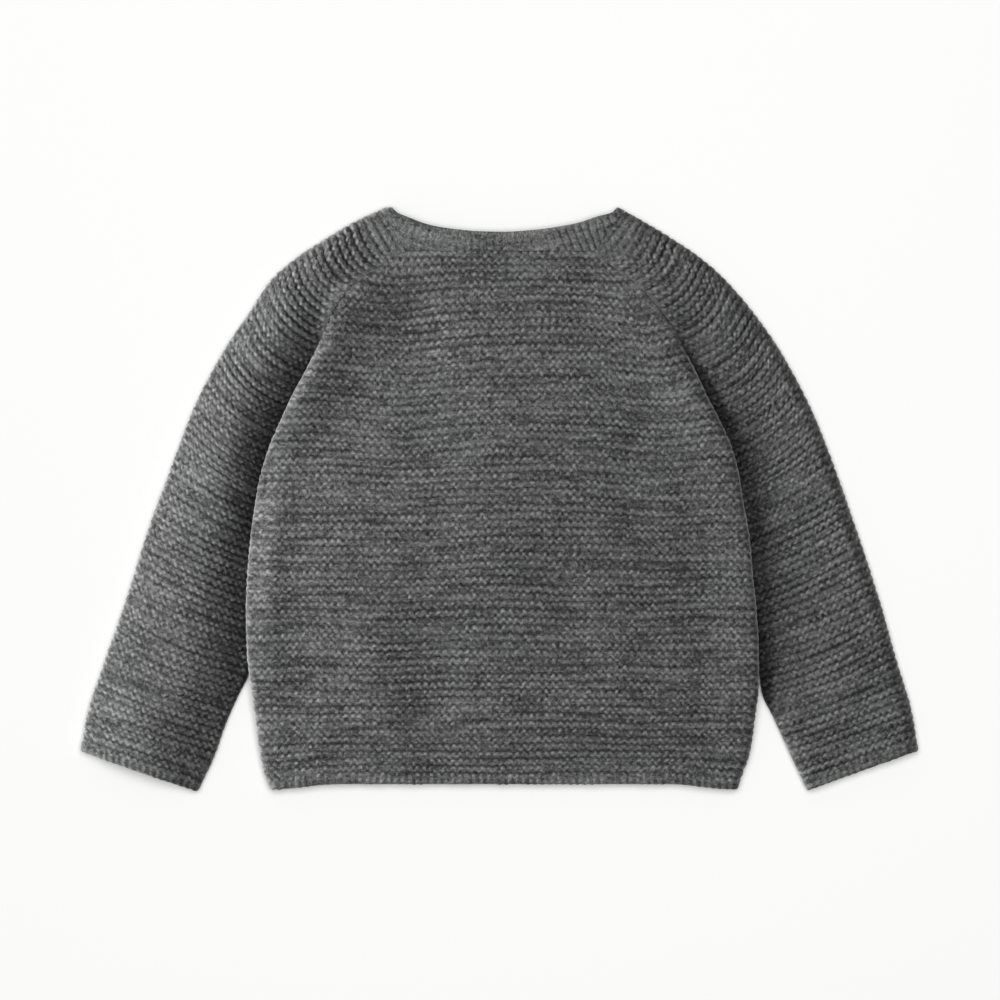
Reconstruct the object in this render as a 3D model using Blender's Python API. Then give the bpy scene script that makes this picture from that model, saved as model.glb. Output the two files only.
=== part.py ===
"""Baby cardigan in garter stitch, laid flat on its front with the back up.

Each panel that a knitter would make is its own cloth wall: the back, two fronts, two raglan sleeves and
the neckband, with five plain buttons. A panel is a grid of points on the middle of its cloth, worked out
from its sections and thickened by WALL. Sizes are in millimetres until a mesh is made, in metres.
+Y points to the neck, +X to the wearer's right, and z = 0 is the surface that the cardigan lies on.
"""
import math

import bmesh
import bpy
import numpy as np

MM = 0.001
WALL = 2.4  # thickness of the knitted cloth
HALF = WALL / 2
GAP = 0.3  # clearance between pieces at a seam
FLAT = 8.0  # height of the back's outer face over the fronts, away from the sides
CENTRE = 2.5  # x of the centre back and centre front
LAP = 10.0  # how far each front passes the centre
LAP_RISE = WALL + GAP  # how much higher the upper front lies in the lap
LAP_STEP = 14.0  # width over which it comes down beside the lap
LAP_EDGE = 1.5  # how far it stays up past the lower front's edge
RAMP = 16.0  # width over which a front comes down from a lifted side
CROWN = 34.0  # width over which the back comes down from a raised side
CROWN_RUNS = (5.0, 12.0, 21.0, CROWN)  # distances in from the side of the back's points there
MIDDLE_SHARES = (0.25, 0.5, 0.75)  # and the shares of the level middle at which it has more
SIDE_POINTS, SEAM_POINTS = 5, 4  # points of the back and of a front round the side's edge
SIDE_SEAM = 125.0  # degrees round the side's edge, from straight up, where the back meets a front
SEAM_ANGLE = 20.0  # degrees that the side seam's clearance takes
SIDE_TOP = -14.0  # y below which the fronts turn up round the side's edge
HEM = -160.4  # y of the hem along the middle
HEM_DROP = 3.1  # how much lower the hem's corners lie
HEM_CORNER = (92.0, 132.0)  # distances from the centre between which the hem drops
HEM_FROM = -120.0  # y below which the rows follow the hem's line
FRONT_SHORT = 0.8  # how much shorter the fronts are
FRONT_LEVEL = 90.0  # y up to which a front's rows are level
FRONT_ROOM = 75.0  # width of a front below which its points move together
FRONT_RUNS = (5.0, 10.0, 15.0, 22.0)  # distances in from the side of a front's points
FRONT_START = 4  # points of a front next to its raglan
UNDERARM = 0.0  # y where the raglan ends and the side seam starts
NECK_SEAM = 139.6  # y of the back's neck seam
FRONT_APEX = 133.0  # y where a front's raglan meets the neckband
RAGLAN_LOW = 110.0  # y by which a sleeve's lower raglan has come level with the upper one
CREST = 8.4  # height of a sleeve along its middle
FOLD = (4.0, 3.6)  # outer radius of a sleeve's outer fold, at the neck and from there on
CREST_RUN = 0.5  # share of the upper wall's width over which it rises to the crest
TIP_FROM = 0.55  # share of its width from which it comes down to the outer fold
UPPER_SHARES = (0.12, 0.25, 0.42, 0.6, 0.8)  # shares of the width where the upper wall has points
LOWER_SHARES = (0.7, 0.35)  # the same for the lower wall, from the outer fold back
FOLD_SETTLES = 0.15  # share of the length over which the fold and crest change from the neck
QUARTER = (90.0, 45.0, 0.0)  # degrees from straight up at the points of a quarter fold
ROW_SAG = 0.035  # how far a sleeve's row bows towards the cuff, as a share of its width
SAG_STARTS, SAG_ENDS = 0.1, 0.8  # shares of the length between which the rows bow fully
CUFF_ROW = 9.0  # distance of a sleeve's last inner row from the cuff
SHOULDER_GAP = 0.6  # the neckband's clearance along the sleeves' neck ends
SHOULDER_SHARES = (0.35, 0.7)  # the neckband's rows between a front's raglan and the shoulder fold
BAND_SHARES = (0.0, 0.5, 1.0)  # shares of the neckband's width where it has points
BAND_TURNS = range(180, -1, -30)  # degrees round the shoulder fold at the neckband's rows
EDGE_RUN = 1.2  # spacing of the points next to a cut edge
TURN_RUN = 2.6  # least length of cloth in a turned-down edge
BUTTONS = 5
BUTTON_RADIUS = 5.6
BUTTON_THICK = 2.2
BUTTON_TOP, BUTTON_PITCH = 94.0, 56.0  # y of the top button, and the distance to the next
BUTTON_SIDES = 20
BUTTON_RIM = 0.3  # the rim's width, as a share of the radius
BUTTON_DISH = 0.5  # how deep the face is dished inside the rim
HOLE_PAST = 1.0  # how far a buttonhole's cutter passes the cloth

# The back's outline from above: the raglan down to the underarm, then the side down to the hem.
BODY = (
    ("y", "left", "right"),
    (139.6, -52.0, 53.4),
    (132.0, -65.3, 62.0),
    (126.0, -73.6, 70.9),
    (119.0, -82.5, 79.2),
    (111.0, -89.6, 86.6),
    (103.0, -94.4, 93.2),
    (93.0, -98.6, 99.9),
    (84.0, -103.0, 104.2),
    (72.0, -109.2, 110.8),
    (58.0, -116.9, 117.5),
    (44.0, -123.2, 124.6),
    (29.0, -129.5, 131.0),
    (12.0, -134.6, 135.4),
    (0.0, -136.8, 137.2),
    (-22.0, -139.8, 141.0),
    (-44.0, -141.7, 142.9),
    (-62.0, -142.4, 144.8),
    (-86.0, -141.8, 146.2),
    (-103.0, -139.9, 146.3),
    (-124.0, -137.2, 144.1),
    (-142.0, -135.0, 141.5),
    (-156.0, -132.0, 136.9),
    (-164.0, -128.4, 134.2),
)

# How the body's side edge is shaped. rim: the back's height there. lift: the height of the front's
# underside, which the sleeve raises. roll: degrees that the back turns down. under and floor: how far the
# sleeve's upper and lower walls pass the edge. seam: the upper wall's height there. front: the front's inset.
EDGE = (
    ("y", "rim", "lift", "roll", "under", "seam", "floor", "front"),
    (140.0, 8.0, 0.0, 8.0, -0.9, 8.0, -0.4, 0.5),
    (120.0, 8.0, 0.0, 8.0, -0.8, 8.0, -0.4, 0.5),
    (106.0, 8.1, 0.0, 20.0, -0.6, 8.0, -0.3, 0.4),
    (86.0, 8.6, 0.0, 40.0, -0.4, 7.5, 0.2, 0.8),
    (72.0, 9.2, 0.0, 58.0, -0.3, 6.9, 1.1, 1.7),
    (60.0, 9.9, 0.8, 74.0, -0.3, 6.2, 2.2, 2.9),
    (48.0, 10.5, 3.0, 90.0, 0.0, 5.7, 2.5, 2.9),
    (36.0, 11.0, 4.6, 106.0, 0.8, 5.3, 5.0, 2.9),
    (24.0, 11.3, 5.6, 116.0, 2.2, 5.2, 6.6, 2.9),
    (0.0, 11.4, 5.6, SIDE_SEAM, 6.2, 5.2, 8.0, 2.9),
    (-90.0, 11.4, 5.6, SIDE_SEAM, 6.2, 5.2, 8.0, 2.9),
    (-112.0, 10.4, 4.0, SIDE_SEAM, 6.2, 5.6, 8.0, 2.9),
    (-138.0, 8.9, 1.4, SIDE_SEAM, 6.2, 6.2, 8.0, 2.9),
    (-158.0, 8.0, 0.0, SIDE_SEAM, 6.2, 6.4, 8.0, 2.9),
    (-166.0, 8.0, 0.0, SIDE_SEAM, 6.2, 6.4, 8.0, 2.9),
)

SLEEVE_OUTER = {  # the outer fold, from the neck to the cuff
    "left": (
        ("x", "y"),
        (-67.2, 162.8),
        (-80.4, 156.9),
        (-99.6, 145.7),
        (-116.4, 134.4),
        (-128.8, 123.2),
        (-140.1, 106.3),
        (-155.3, 83.8),
        (-172.7, 50.1),
        (-185.6, 16.3),
        (-198.0, -17.4),
        (-210.4, -56.8),
        (-222.2, -90.6),
        (-232.2, -121.0),
        (-236.0, -141.5),
    ),
    "right": (
        ("x", "y"),
        (71.4, 161.8),
        (80.4, 156.9),
        (99.0, 145.7),
        (115.3, 134.4),
        (127.7, 123.2),
        (142.3, 106.3),
        (158.1, 83.8),
        (176.1, 50.1),
        (189.6, 16.3),
        (201.4, -17.4),
        (214.3, -56.8),
        (223.9, -90.6),
        (232.8, -121.0),
        (236.0, -141.5),
    ),
}
SLEEVE_INNER = {  # the inner fold, from the underarm to the cuff
    "left": (
        ("y", "x"),
        (0.0, -128.8),
        (-35.0, -133.8),
        (-70.0, -138.0),
        (-98.0, -140.8),
        (-110.0, -146.3),
        (-125.0, -153.0),
        (-147.0, -161.0),
        (-164.8, -169.6),
    ),
    "right": (
        ("y", "x"),
        (0.0, 129.2),
        (-35.0, 135.2),
        (-70.0, 141.0),
        (-98.0, 146.4),
        (-110.0, 148.2),
        (-122.6, 154.3),
        (-149.0, 166.2),
        (-164.2, 173.4),
    ),
}
RAGLAN_ROWS = (139.6, 135.0, 130.0, 124.0, 117.0, 108.0, 98.0, 86.0, 72.0, 60.0, 48.0, 36.0, 24.0, 12.0)
BODY_ROWS = (-14.0, -34.0, -54.0, -74.0, -92.0, -108.0, -122.0, -136.0, -148.0, -157.0, -163.5)
SLEEVE_ROWS = (0.0, -16.0, -36.0, -58.0, -80.0, -98.0, -112.0, -128.0, -146.0)

# The neckband's two edges from the centre front to the raglan, as shares of the way to it, and their y.
# raglan: the y on the raglan of the front's row that ends there.
BAND_FRONT = (
    ("seam", "seam_y", "neck", "neck_y", "raglan"),
    (0.0, 103.5, 0.0, 114.0, 104.0),
    (0.25, 105.0, 0.22, 115.4, 111.0),
    (0.5, 110.0, 0.43, 119.6, 118.0),
    (0.74, 118.5, 0.62, 126.8, 125.5),
    (0.89, 126.2, 0.74, 134.3, 132.2),
    (1.0, 133.0, 0.82, 141.5, 133.0),
)
# From the shoulder down to the raglan and on to the centre back: the neck edge, and how far its seam edge
# is along the sleeve's neck end, or past 1 along the back's neck seam towards the centre.
BAND_BACK = {
    "left": (
        ("x", "y", "seam"),
        (-54.0, 160.3, 0.5),
        (-50.0, 158.1, 0.78),
        (-44.5, 155.9, 1.02),
        (-37.0, 153.7, 1.2),
        (-26.4, 152.0, 1.45),
        (-11.0, 150.6, 1.75),
    ),
    "right": (
        ("x", "y", "seam"),
        (59.0, 160.6, 0.5),
        (53.5, 158.4, 0.78),
        (46.5, 155.9, 1.02),
        (37.0, 153.8, 1.22),
        (20.0, 151.4, 1.6),
    ),
}
BAND_CENTRE = (2.8, 150.3)
PEAK = {"left": (-60.8, 164.0), "right": (66.8, 164.0)}  # the neck edge's ends at the shoulder folds
PEAK_FACING = {"left": (-0.75, 0.66), "right": (0.75, 0.66)}

KNIT, KNIT_ROUGHNESS = (0.105, 0.108, 0.108), 0.9
BUTTON_GREY, BUTTON_ROUGHNESS = (0.07, 0.07, 0.075), 0.35


def smooth(t):
    """0 to 1 with level ends."""
    t = min(max(t, 0.0), 1.0)
    return t * t * (3 - 2 * t)


def column(table, name):
    """One named column of a table."""
    at = table[0].index(name)
    return np.array([row[at] for row in table[1:]], float)


def through(keys, values, at):
    """The smooth curve through the values at rising keys, which never overshoots them."""
    step = np.diff(keys)
    rise = np.diff(values) / step
    slope = np.concatenate(([rise[0]], np.zeros(len(step) - 1), [rise[-1]]))
    for i in range(1, len(step)):
        if rise[i - 1] * rise[i] > 0:
            slope[i] = 2 * rise[i - 1] * rise[i] / (rise[i - 1] + rise[i])
    i = min(max(int(np.searchsorted(keys, at)) - 1, 0), len(step) - 1)
    t = min(max((at - keys[i]) / step[i], 0.0), 1.0)
    lean = slope[i] * t * (1 - t) ** 2 + slope[i + 1] * t * t * (t - 1)
    return values[i] + (values[i + 1] - values[i]) * smooth(t) + step[i] * lean


def read(table, name, y):
    """A column of a table whose first column is a falling y."""
    return through(-column(table, table[0][0]), column(table, name), -y)


def outward(side):
    """Which way is out of the body on a side."""
    return -1.0 if side == "left" else 1.0


def edge(y, side):
    """The body's side edge at y, and its shape there."""
    shape = {name: read(EDGE, name, y) for name in EDGE[0][1:]}
    shape["x"] = read(BODY, side, y)
    gentle = HALF + TURN_RUN / math.radians(shape["roll"])
    shape["radius"] = max((shape["rim"] - shape["lift"]) / 2, gentle)
    return shape


def side_arc(shape, side, angles):
    """x and z on the middle of the cloth round the side's edge, at degrees from straight up."""
    turned = math.radians(min(shape["roll"], 90.0))
    middle = shape["x"] - outward(side) * shape["radius"] * math.sin(turned)
    radius = shape["radius"] - HALF
    level = shape["rim"] - shape["radius"]
    turns = [math.radians(a) for a in angles]
    return [(middle + outward(side) * radius * math.sin(a), level + radius * math.cos(a)) for a in turns]


def hem_y(x):
    """The hem's line: level along the middle, lower at its corners."""
    near, far = HEM_CORNER
    return HEM - HEM_DROP * smooth((abs(x - CENTRE) - near) / (far - near))


def to_hem(section, y, short=0.0):
    """A body section as points, the lowest sections following the hem's line."""
    share = smooth((HEM_FROM - y) / (HEM_FROM - BODY_ROWS[-1]))
    return [(x, y + (hem_y(x) - BODY_ROWS[-1] + short) * share, z) for x, z in section]


def back_half(y, side):
    """x and z from the back's edge to CROWN inside it."""
    shape = edge(y, side)
    points = side_arc(shape, side, np.linspace(shape["roll"], 0.0, SIDE_POINTS))
    start = points[-1][0]
    for run in CROWN_RUNS:
        raised = (shape["rim"] - FLAT) * (1 - smooth(run / CROWN))
        points.append((start - outward(side) * run, FLAT + raised - HALF))
    return points


def back_section(y):
    """x and z across the back at y, from its left edge to its right one."""
    left, right = back_half(y, "left"), back_half(y, "right")
    x0, x1 = left[-1][0], right[-1][0]
    middle = [(x0 + (x1 - x0) * share, FLAT - HALF) for share in MIDDLE_SHARES]
    return left + middle + right[::-1]


def back_rows():
    """The back's sections from the hem to the neck."""
    heights = BODY_ROWS[::-1] + (UNDERARM,) + RAGLAN_ROWS[:0:-1] + (NECK_SEAM - GAP,)
    return [to_hem(back_section(y), y) for y in heights]


def front_corner(side):
    """x where a front's raglan meets the neckband."""
    shape = edge(FRONT_APEX, side)
    return shape["x"] - outward(side) * shape["front"]


def front_neck(side):
    """The upper rows of a front: the raglan's y, and the inner end on the neck seam."""
    reach = front_corner(side) - CENTRE
    rows = []
    for share, y, raglan in zip(*(column(BAND_FRONT, name) for name in ("seam", "seam_y", "raglan"))):
        x = CENTRE + reach * share if share else CENTRE - outward(side) * LAP
        rows.append((raglan, x, y - GAP))
    return rows[:-1]


def lap_height(x, side):
    """How much a front is raised at x by the lap: the right one passes over the left one."""
    if side == "left":
        return 0.0
    return LAP_RISE * smooth((CENTRE + LAP + LAP_EDGE + LAP_STEP - x) / LAP_STEP)


def front_section(side, y, inner, inner_y):
    """A front's points from its side seam or raglan at y to its inner edge."""
    shape = edge(y, side)
    out = outward(side)
    if y <= SIDE_TOP:
        points = side_arc(shape, side, np.linspace(SIDE_SEAM + SEAM_ANGLE, 180.0, SEAM_POINTS))
    else:
        start = shape["x"] - out * shape["front"]
        points = [(start - out * EDGE_RUN * i, shape["lift"] + HALF) for i in range(FRONT_START)]
    start = points[-1][0]
    squeeze = min(1.0, abs(inner - start) / FRONT_ROOM)
    passed = 2 * LAP + LAP_EDGE
    stops = [start - out * run * squeeze for run in FRONT_RUNS]
    stops += [inner + out * run * squeeze for run in (passed + LAP_STEP, passed + LAP_STEP / 2, passed, 0.0)]
    lifted = shape["x"] - out * (shape["floor"] + 1.0)
    for x in stops:
        down = smooth((lifted - x) * out / RAMP)
        points.append((x, HALF + shape["lift"] * (1 - down) + lap_height(x, side)))
    slope = (inner_y - y) / (inner - points[0][0])
    return [(x, y + slope * (x - points[0][0]), z) for x, z in points]


def front_rows(side):
    """A front's rows from the hem to the top of its raglan, the upper ones slanting to the neck."""
    centre = CENTRE - outward(side) * LAP
    rows = []
    for y in BODY_ROWS[::-1] + (UNDERARM,) + tuple(y for y in RAGLAN_ROWS[::-1] if y < FRONT_LEVEL):
        level = front_section(side, y, centre, y)
        rows.append(to_hem([(x, z) for x, _, z in level], y, FRONT_SHORT))
    return rows + [front_section(side, *row) for row in front_neck(side)]


def lengths(points):
    """Distances along a line of points from its start."""
    steps = np.linalg.norm(np.diff(np.array(points, float), axis=0), axis=1)
    return np.concatenate(([0.0], np.cumsum(steps)))


def sleeve_edges(side):
    """The sleeve's rows as (y, upper inner point, lower inner point, outer point, seam height, closed)."""
    out = outward(side)
    rows = []
    for y in RAGLAN_ROWS:
        shape = edge(y, side)
        upper = (shape["x"] - out * shape["under"], y)
        share = smooth((NECK_SEAM - y) / (NECK_SEAM - RAGLAN_LOW))
        low_y = y - (NECK_SEAM - FRONT_APEX) * (1 - share)
        low = edge(low_y, side)
        rows.append((upper, (low["x"] - out * low["floor"], low_y), shape["seam"], False))
    cuff = SLEEVE_INNER[side][-1][0]
    for y in SLEEVE_ROWS + (cuff + CUFF_ROW, cuff):
        fold = (read(SLEEVE_INNER[side], "x", y), y)
        rows.append((fold, fold, read(EDGE, "seam", y), True))
    along = lengths([row[0] for row in rows])
    outer = [(row[0], row[1]) for row in SLEEVE_OUTER[side][1:]]
    keys = lengths(outer)
    shares = along / along[-1] * keys[-1]
    folds = [tuple(through(keys, np.array(outer)[:, i], at) for i in (0, 1)) for at in shares]
    return [(*row, fold, at / keys[-1]) for row, fold, at in zip(rows, folds, shares)]


def unit(vector):
    return vector / np.linalg.norm(vector)


def fold_arc(tip, inward, radius, level, angles):
    """Points on the middle of the cloth round a fold, whose outer face reaches tip, at degrees from up."""
    middle = tip + inward * (radius + HALF)
    turns = [math.radians(a) for a in angles]
    return [(*(middle - inward * radius * math.sin(a)), level + radius * math.cos(a)) for a in turns]


def sleeve_section(upper, lower, seam, closed, outer, share):
    """Points round a sleeve's row: in along the upper wall, round the outer fold and back below."""
    upper, lower, outer = (np.array(p, float) for p in (upper, lower, outer))
    inward = unit(upper - outer)
    settled = smooth(share / FOLD_SETTLES)
    fold = FOLD[1] + (FOLD[0] - FOLD[1]) * (1 - settled) - HALF
    hinge = outer + inward * (fold + HALF)
    if closed:
        radius = (seam - WALL) / 2
        start = fold_arc(upper, -inward, radius, HALF + radius, QUARTER)
        end = fold_arc(upper, -inward, radius, HALF + radius, [180.0 - a for a in QUARTER[::-1]])
    else:
        start = [(*(upper - inward * EDGE_RUN * i), seam - HALF) for i in range(3)]
        below = unit(lower - outer)
        end = [(*(lower - below * EDGE_RUN * i), HALF) for i in (2, 1, 0)]
    first, last = np.array(start[-1][:2]), np.array(end[0][:2])
    width = np.linalg.norm(hinge - first)
    bowed = smooth(share / SAG_STARTS) * (1 - smooth((share - SAG_ENDS) / (1 - SAG_ENDS)))
    sag = np.array([inward[1], -inward[0]]) * ROW_SAG * width * bowed
    sag *= -1.0 if sag[1] > 0 else 1.0
    tip = HALF + 2 * fold
    crest = tip + (CREST - HALF - tip) * settled
    points = list(start)
    for t in UPPER_SHARES:
        spot = first + (hinge - first) * t + sag * 4 * t * (1 - t)
        height = start[-1][2] + (crest - start[-1][2]) * smooth(t / CREST_RUN)
        height += (tip - crest) * smooth((t - TIP_FROM) / (1 - TIP_FROM))
        points.append((*spot, height))
    turns = QUARTER[::-1] + tuple(180.0 - a for a in QUARTER[1:])
    points += fold_arc(outer, inward, fold, HALF + fold, turns)
    for t in LOWER_SHARES:
        spot = last + (hinge - last) * t + sag * 4 * t * (1 - t)
        points.append((*spot, HALF))
    return points + end


def band_side(side):
    """The neckband's rows on one side, from the front's edge round the shoulder towards the centre back."""
    out = outward(side)
    upper, lower, _, _, outer, _ = (np.array(part, float) for part in sleeve_edges(side)[0])
    reach = front_corner(side) - CENTRE
    rows = []
    for share, seam_y, neck_share, neck_y, _ in BAND_FRONT[1:]:
        neck_x, seam_x = CENTRE + reach * neck_share, CENTRE + reach * share
        if not share:
            neck_x = seam_x = CENTRE - out * LAP
        rows.append(((neck_x, neck_y, HALF), (seam_x - out * GAP * share, seam_y + GAP, HALF)))
    inward = unit(upper - outer)
    beside = np.array((-inward[1], inward[0]))
    beside *= SHOULDER_GAP * (1.0 if beside[0] * out < 0 else -1.0)
    fold = FOLD[0] - HALF
    neck_fold = fold_arc(np.array(PEAK[side]), -np.array(PEAK_FACING[side]), fold, HALF + fold, BAND_TURNS)
    seam_fold = fold_arc(outer + beside, inward, fold, HALF + fold, BAND_TURNS)
    last_neck, first = np.array(rows[-1][0][:2]), np.array(neck_fold[0][:2])
    corner, hinge = lower + beside, np.array(seam_fold[0][:2])
    for share in SHOULDER_SHARES:
        neck, seam = last_neck + (first - last_neck) * share, corner + (hinge - corner) * share
        rows.append(((*neck, HALF), (*seam, HALF)))
    rows += list(zip(neck_fold, seam_fold))
    top = FLAT - HALF
    start = upper[0] - out * GAP
    for x, y, at in BAND_BACK[side][1:]:
        seam = hinge + (upper + beside - hinge) * at
        if at > 1:
            seam = (start + (BAND_CENTRE[0] - start) * (at - 1), NECK_SEAM + GAP)
        rows.append(((x, y, top), (*seam, top)))
    return rows


def band_rows():
    """The neckband from the left front's end round the back to the right front's end."""
    centre = ((*BAND_CENTRE, FLAT - HALF), (BAND_CENTRE[0], NECK_SEAM + GAP, FLAT - HALF))
    pairs = band_side("left") + [centre]
    for pair in band_side("right")[::-1]:
        in_front = pair[0][2] < FLAT / 2
        pairs.append([(x, y, z + (lap_height(x, "right") if in_front else 0.0)) for x, y, z in pair])
    rows = []
    for neck, seam in pairs:
        neck, seam = np.array(neck), np.array(seam)
        rows.append([tuple(neck * (1 - share) + seam * share) for share in BAND_SHARES])
    return rows


def tangents(grid):
    """The direction of the lines along the grid's first axis, at each point. An end's mirrors the next."""
    run = np.diff(grid, axis=0)
    run /= np.linalg.norm(run, axis=2, keepdims=True)
    middle = run[:-1] + run[1:]
    middle /= np.linalg.norm(middle, axis=2, keepdims=True)

    def mirrored(inside, chord):
        return 2 * np.sum(inside * chord, axis=1, keepdims=True) * chord - inside

    return np.concatenate(([mirrored(middle[0], run[0])], middle, [mirrored(middle[-1], run[-1])]))


def normals(grid, closed_from, upright):
    """The unit normal at each point of a grid. Upright sections keep it in their own plane, across y."""
    down = np.broadcast_to((0.0, 1.0, 0.0), grid.shape) if upright else tangents(grid)
    across = tangents(grid.swapaxes(0, 1)).swapaxes(0, 1)
    if closed_from is not None:
        rings = grid[closed_from:]
        round_end = np.stack((rings[:, -2], rings[:, 0], rings[:, 1]), axis=0)
        across[closed_from:, 0] = across[closed_from:, -1] = tangents(round_end)[1]
    facing = np.cross(across, down)
    return facing / np.linalg.norm(facing, axis=2, keepdims=True)


def cloth(name, rows, material, closed_from=None, upright=False):
    """A cloth wall on a grid of points. Rows from closed_from on are rings, whose ends meet."""
    grid = np.array(rows, float)
    shift = normals(grid, closed_from, upright) * HALF
    count, wide = grid.shape[:2]
    shape = bmesh.new()
    faces = []
    for side in (1, -1):
        points = grid + side * shift
        points[:, :, 2] = np.maximum(points[:, :, 2], 0.0)
        ids = {}
        for i in range(count):
            for j in range(wide):
                ring = closed_from is not None and i >= closed_from and j == wide - 1
                ids[i, j] = ids[i, 0] if ring else shape.verts.new(points[i, j] * MM)
        faces.append(ids)
    outer, inner = faces
    for i in range(count - 1):
        for j in range(wide - 1):
            corners = ((i, j), (i + 1, j), (i + 1, j + 1), (i, j + 1))
            shape.faces.new([outer[c] for c in corners])
            shape.faces.new([inner[c] for c in reversed(corners)])
        for j in (0, wide - 1):
            if closed_from is None or i < closed_from:
                shape.faces.new((outer[i, j], outer[i + 1, j], inner[i + 1, j], inner[i, j]))
    for i in (0, count - 1):
        for j in range(wide - 1):
            shape.faces.new((outer[i, j], outer[i, j + 1], inner[i, j + 1], inner[i, j]))
    bmesh.ops.triangulate(shape, faces=shape.faces[:])
    bmesh.ops.recalc_face_normals(shape, faces=shape.faces[:])
    mesh = bpy.data.meshes.new(name)
    shape.to_mesh(mesh)
    shape.free()
    mesh.materials.append(material)
    mesh.shade_smooth()
    piece = bpy.data.objects.new(name, mesh)
    bpy.context.scene.collection.objects.link(piece)
    return piece


def plain(name, colour, roughness):
    """A plain material."""
    material = bpy.data.materials.new(name)
    material.use_nodes = True
    shader = material.node_tree.nodes["Principled BSDF"]
    shader.inputs["Base Color"].default_value = (*colour, 1.0)
    shader.inputs["Roughness"].default_value = roughness
    shader.inputs["Metallic"].default_value = 0.0
    return material


def disc(name, radius, low, high, y, dish=0.0):
    """An upright round on the centre line, with its lower face dished inside a rim if dish is given."""
    shape = bmesh.new()
    wide, tall = radius * MM, (high - low) * MM
    bmesh.ops.create_cone(
        shape, cap_ends=True, segments=BUTTON_SIDES, radius1=wide, radius2=wide, depth=tall
    )
    bmesh.ops.translate(shape, verts=shape.verts, vec=(CENTRE * MM, y * MM, (low + high) / 2 * MM))
    if dish:
        floor = [f for f in shape.faces if f.normal.z < -0.9]
        bmesh.ops.inset_region(shape, faces=floor, thickness=radius * BUTTON_RIM * MM)
        centre = [f for f in shape.faces if f.normal.z < -0.9 and len(f.verts) > 4]
        moved = {v for f in centre for v in f.verts}
        bmesh.ops.translate(shape, verts=list(moved), vec=(0, 0, dish * MM))
    bmesh.ops.recalc_face_normals(shape, faces=shape.faces[:])
    mesh = bpy.data.meshes.new(name)
    shape.to_mesh(mesh)
    shape.free()
    piece = bpy.data.objects.new(name, mesh)
    bpy.context.scene.collection.objects.link(piece)
    return piece


def button_heights():
    return [BUTTON_TOP - BUTTON_PITCH * i for i in range(BUTTONS)]


def make_buttons(front):
    """The buttons, each in its buttonhole in the lower front."""
    material = plain("button", BUTTON_GREY, BUTTON_ROUGHNESS)
    for i, y in enumerate(button_heights()):
        button = disc(f"button_{i + 1}", BUTTON_RADIUS, 0.0, BUTTON_THICK, y, BUTTON_DISH)
        button.data.materials.append(material)
        button.data.shade_smooth()
        button.data.set_sharp_from_angle(angle=math.radians(30))
        hole = disc(f"buttonhole_{i + 1}", BUTTON_RADIUS + GAP, -HOLE_PAST, WALL + HOLE_PAST, y)
        hole.hide_render = True
        hole.display_type = "WIRE"
        cut = front.modifiers.new(f"buttonhole {i + 1}", "BOOLEAN")
        cut.operation = "DIFFERENCE"
        cut.object = hole


def make_cardigan():
    for old in list(bpy.data.objects):
        bpy.data.objects.remove(old)
    knit = plain("knit", KNIT, KNIT_ROUGHNESS)
    cloth("back", back_rows(), knit, upright=True)
    fronts = {s: cloth(f"front_{s}", front_rows(s), knit, upright=True) for s in ("left", "right")}
    for side in ("left", "right"):
        rows = [sleeve_section(*row) for row in sleeve_edges(side)]
        cloth(f"sleeve_{side}", rows, knit, closed_from=len(RAGLAN_ROWS))
    cloth("neckband", band_rows(), knit)
    make_buttons(fronts["left"])


make_cardigan()
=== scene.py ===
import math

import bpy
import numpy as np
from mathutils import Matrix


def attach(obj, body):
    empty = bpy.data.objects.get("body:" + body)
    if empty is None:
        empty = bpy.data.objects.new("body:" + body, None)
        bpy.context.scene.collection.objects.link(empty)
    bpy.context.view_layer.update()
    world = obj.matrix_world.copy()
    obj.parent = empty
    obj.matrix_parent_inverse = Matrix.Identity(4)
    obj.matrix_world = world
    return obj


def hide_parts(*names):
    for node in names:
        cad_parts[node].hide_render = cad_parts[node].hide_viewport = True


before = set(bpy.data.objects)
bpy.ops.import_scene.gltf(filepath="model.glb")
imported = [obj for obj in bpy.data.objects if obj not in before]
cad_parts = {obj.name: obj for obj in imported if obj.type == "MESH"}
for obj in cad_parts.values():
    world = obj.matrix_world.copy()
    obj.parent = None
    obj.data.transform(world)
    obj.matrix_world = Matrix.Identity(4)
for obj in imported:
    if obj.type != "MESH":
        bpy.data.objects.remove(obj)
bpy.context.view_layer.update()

# Baby cardigan in garter stitch, laid flat on its front with the back up.
#
# Each panel is knitted afresh on the form of its CAD solid: a fine grid follows the rows and the columns of
# stitches, and its outer face is lifted into garter ridges. Forms are worked out in millimetres and made in
# metres. +Y points to the neck, +X to the wearer's right, and z = 0 is the surface that the cardigan lies on.

MM = 0.001

SIDES = ("left", "right")

# The garment's form, as in the CAD model.
WALL = 2.4  # thickness of the knitted cloth
HALF = WALL / 2
GAP = 0.3  # clearance between the solids at a seam
FLAT = 8.0  # height of the back's outer face over the fronts, away from the sides
CENTRE = 2.5  # x of the centre back and centre front
LAP = 10.0  # how far each front passes the centre
LAP_RISE = WALL + GAP  # how much higher the upper front lies in the lap
LAP_STEP = 14.0  # width over which it comes down beside the lap
LAP_EDGE = 1.5  # how far it stays up past the lower front's edge
RAMP = 16.0  # width over which a front comes down from a lifted side
CROWN = 34.0  # width over which the back comes down from a raised side
SIDE_SEAM = 125.0  # degrees round the side's edge, from straight up, where the back meets a front
SEAM_ANGLE = 20.0  # degrees that the side seam's clearance takes
SIDE_TOP = -14.0  # y below which the fronts turn up round the side's edge
HEM = -160.4  # y of the hem along the middle
HEM_DROP = 3.1  # how much lower the hem's corners lie
HEM_CORNER = (92.0, 132.0)  # distances from the centre between which the hem drops
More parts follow.
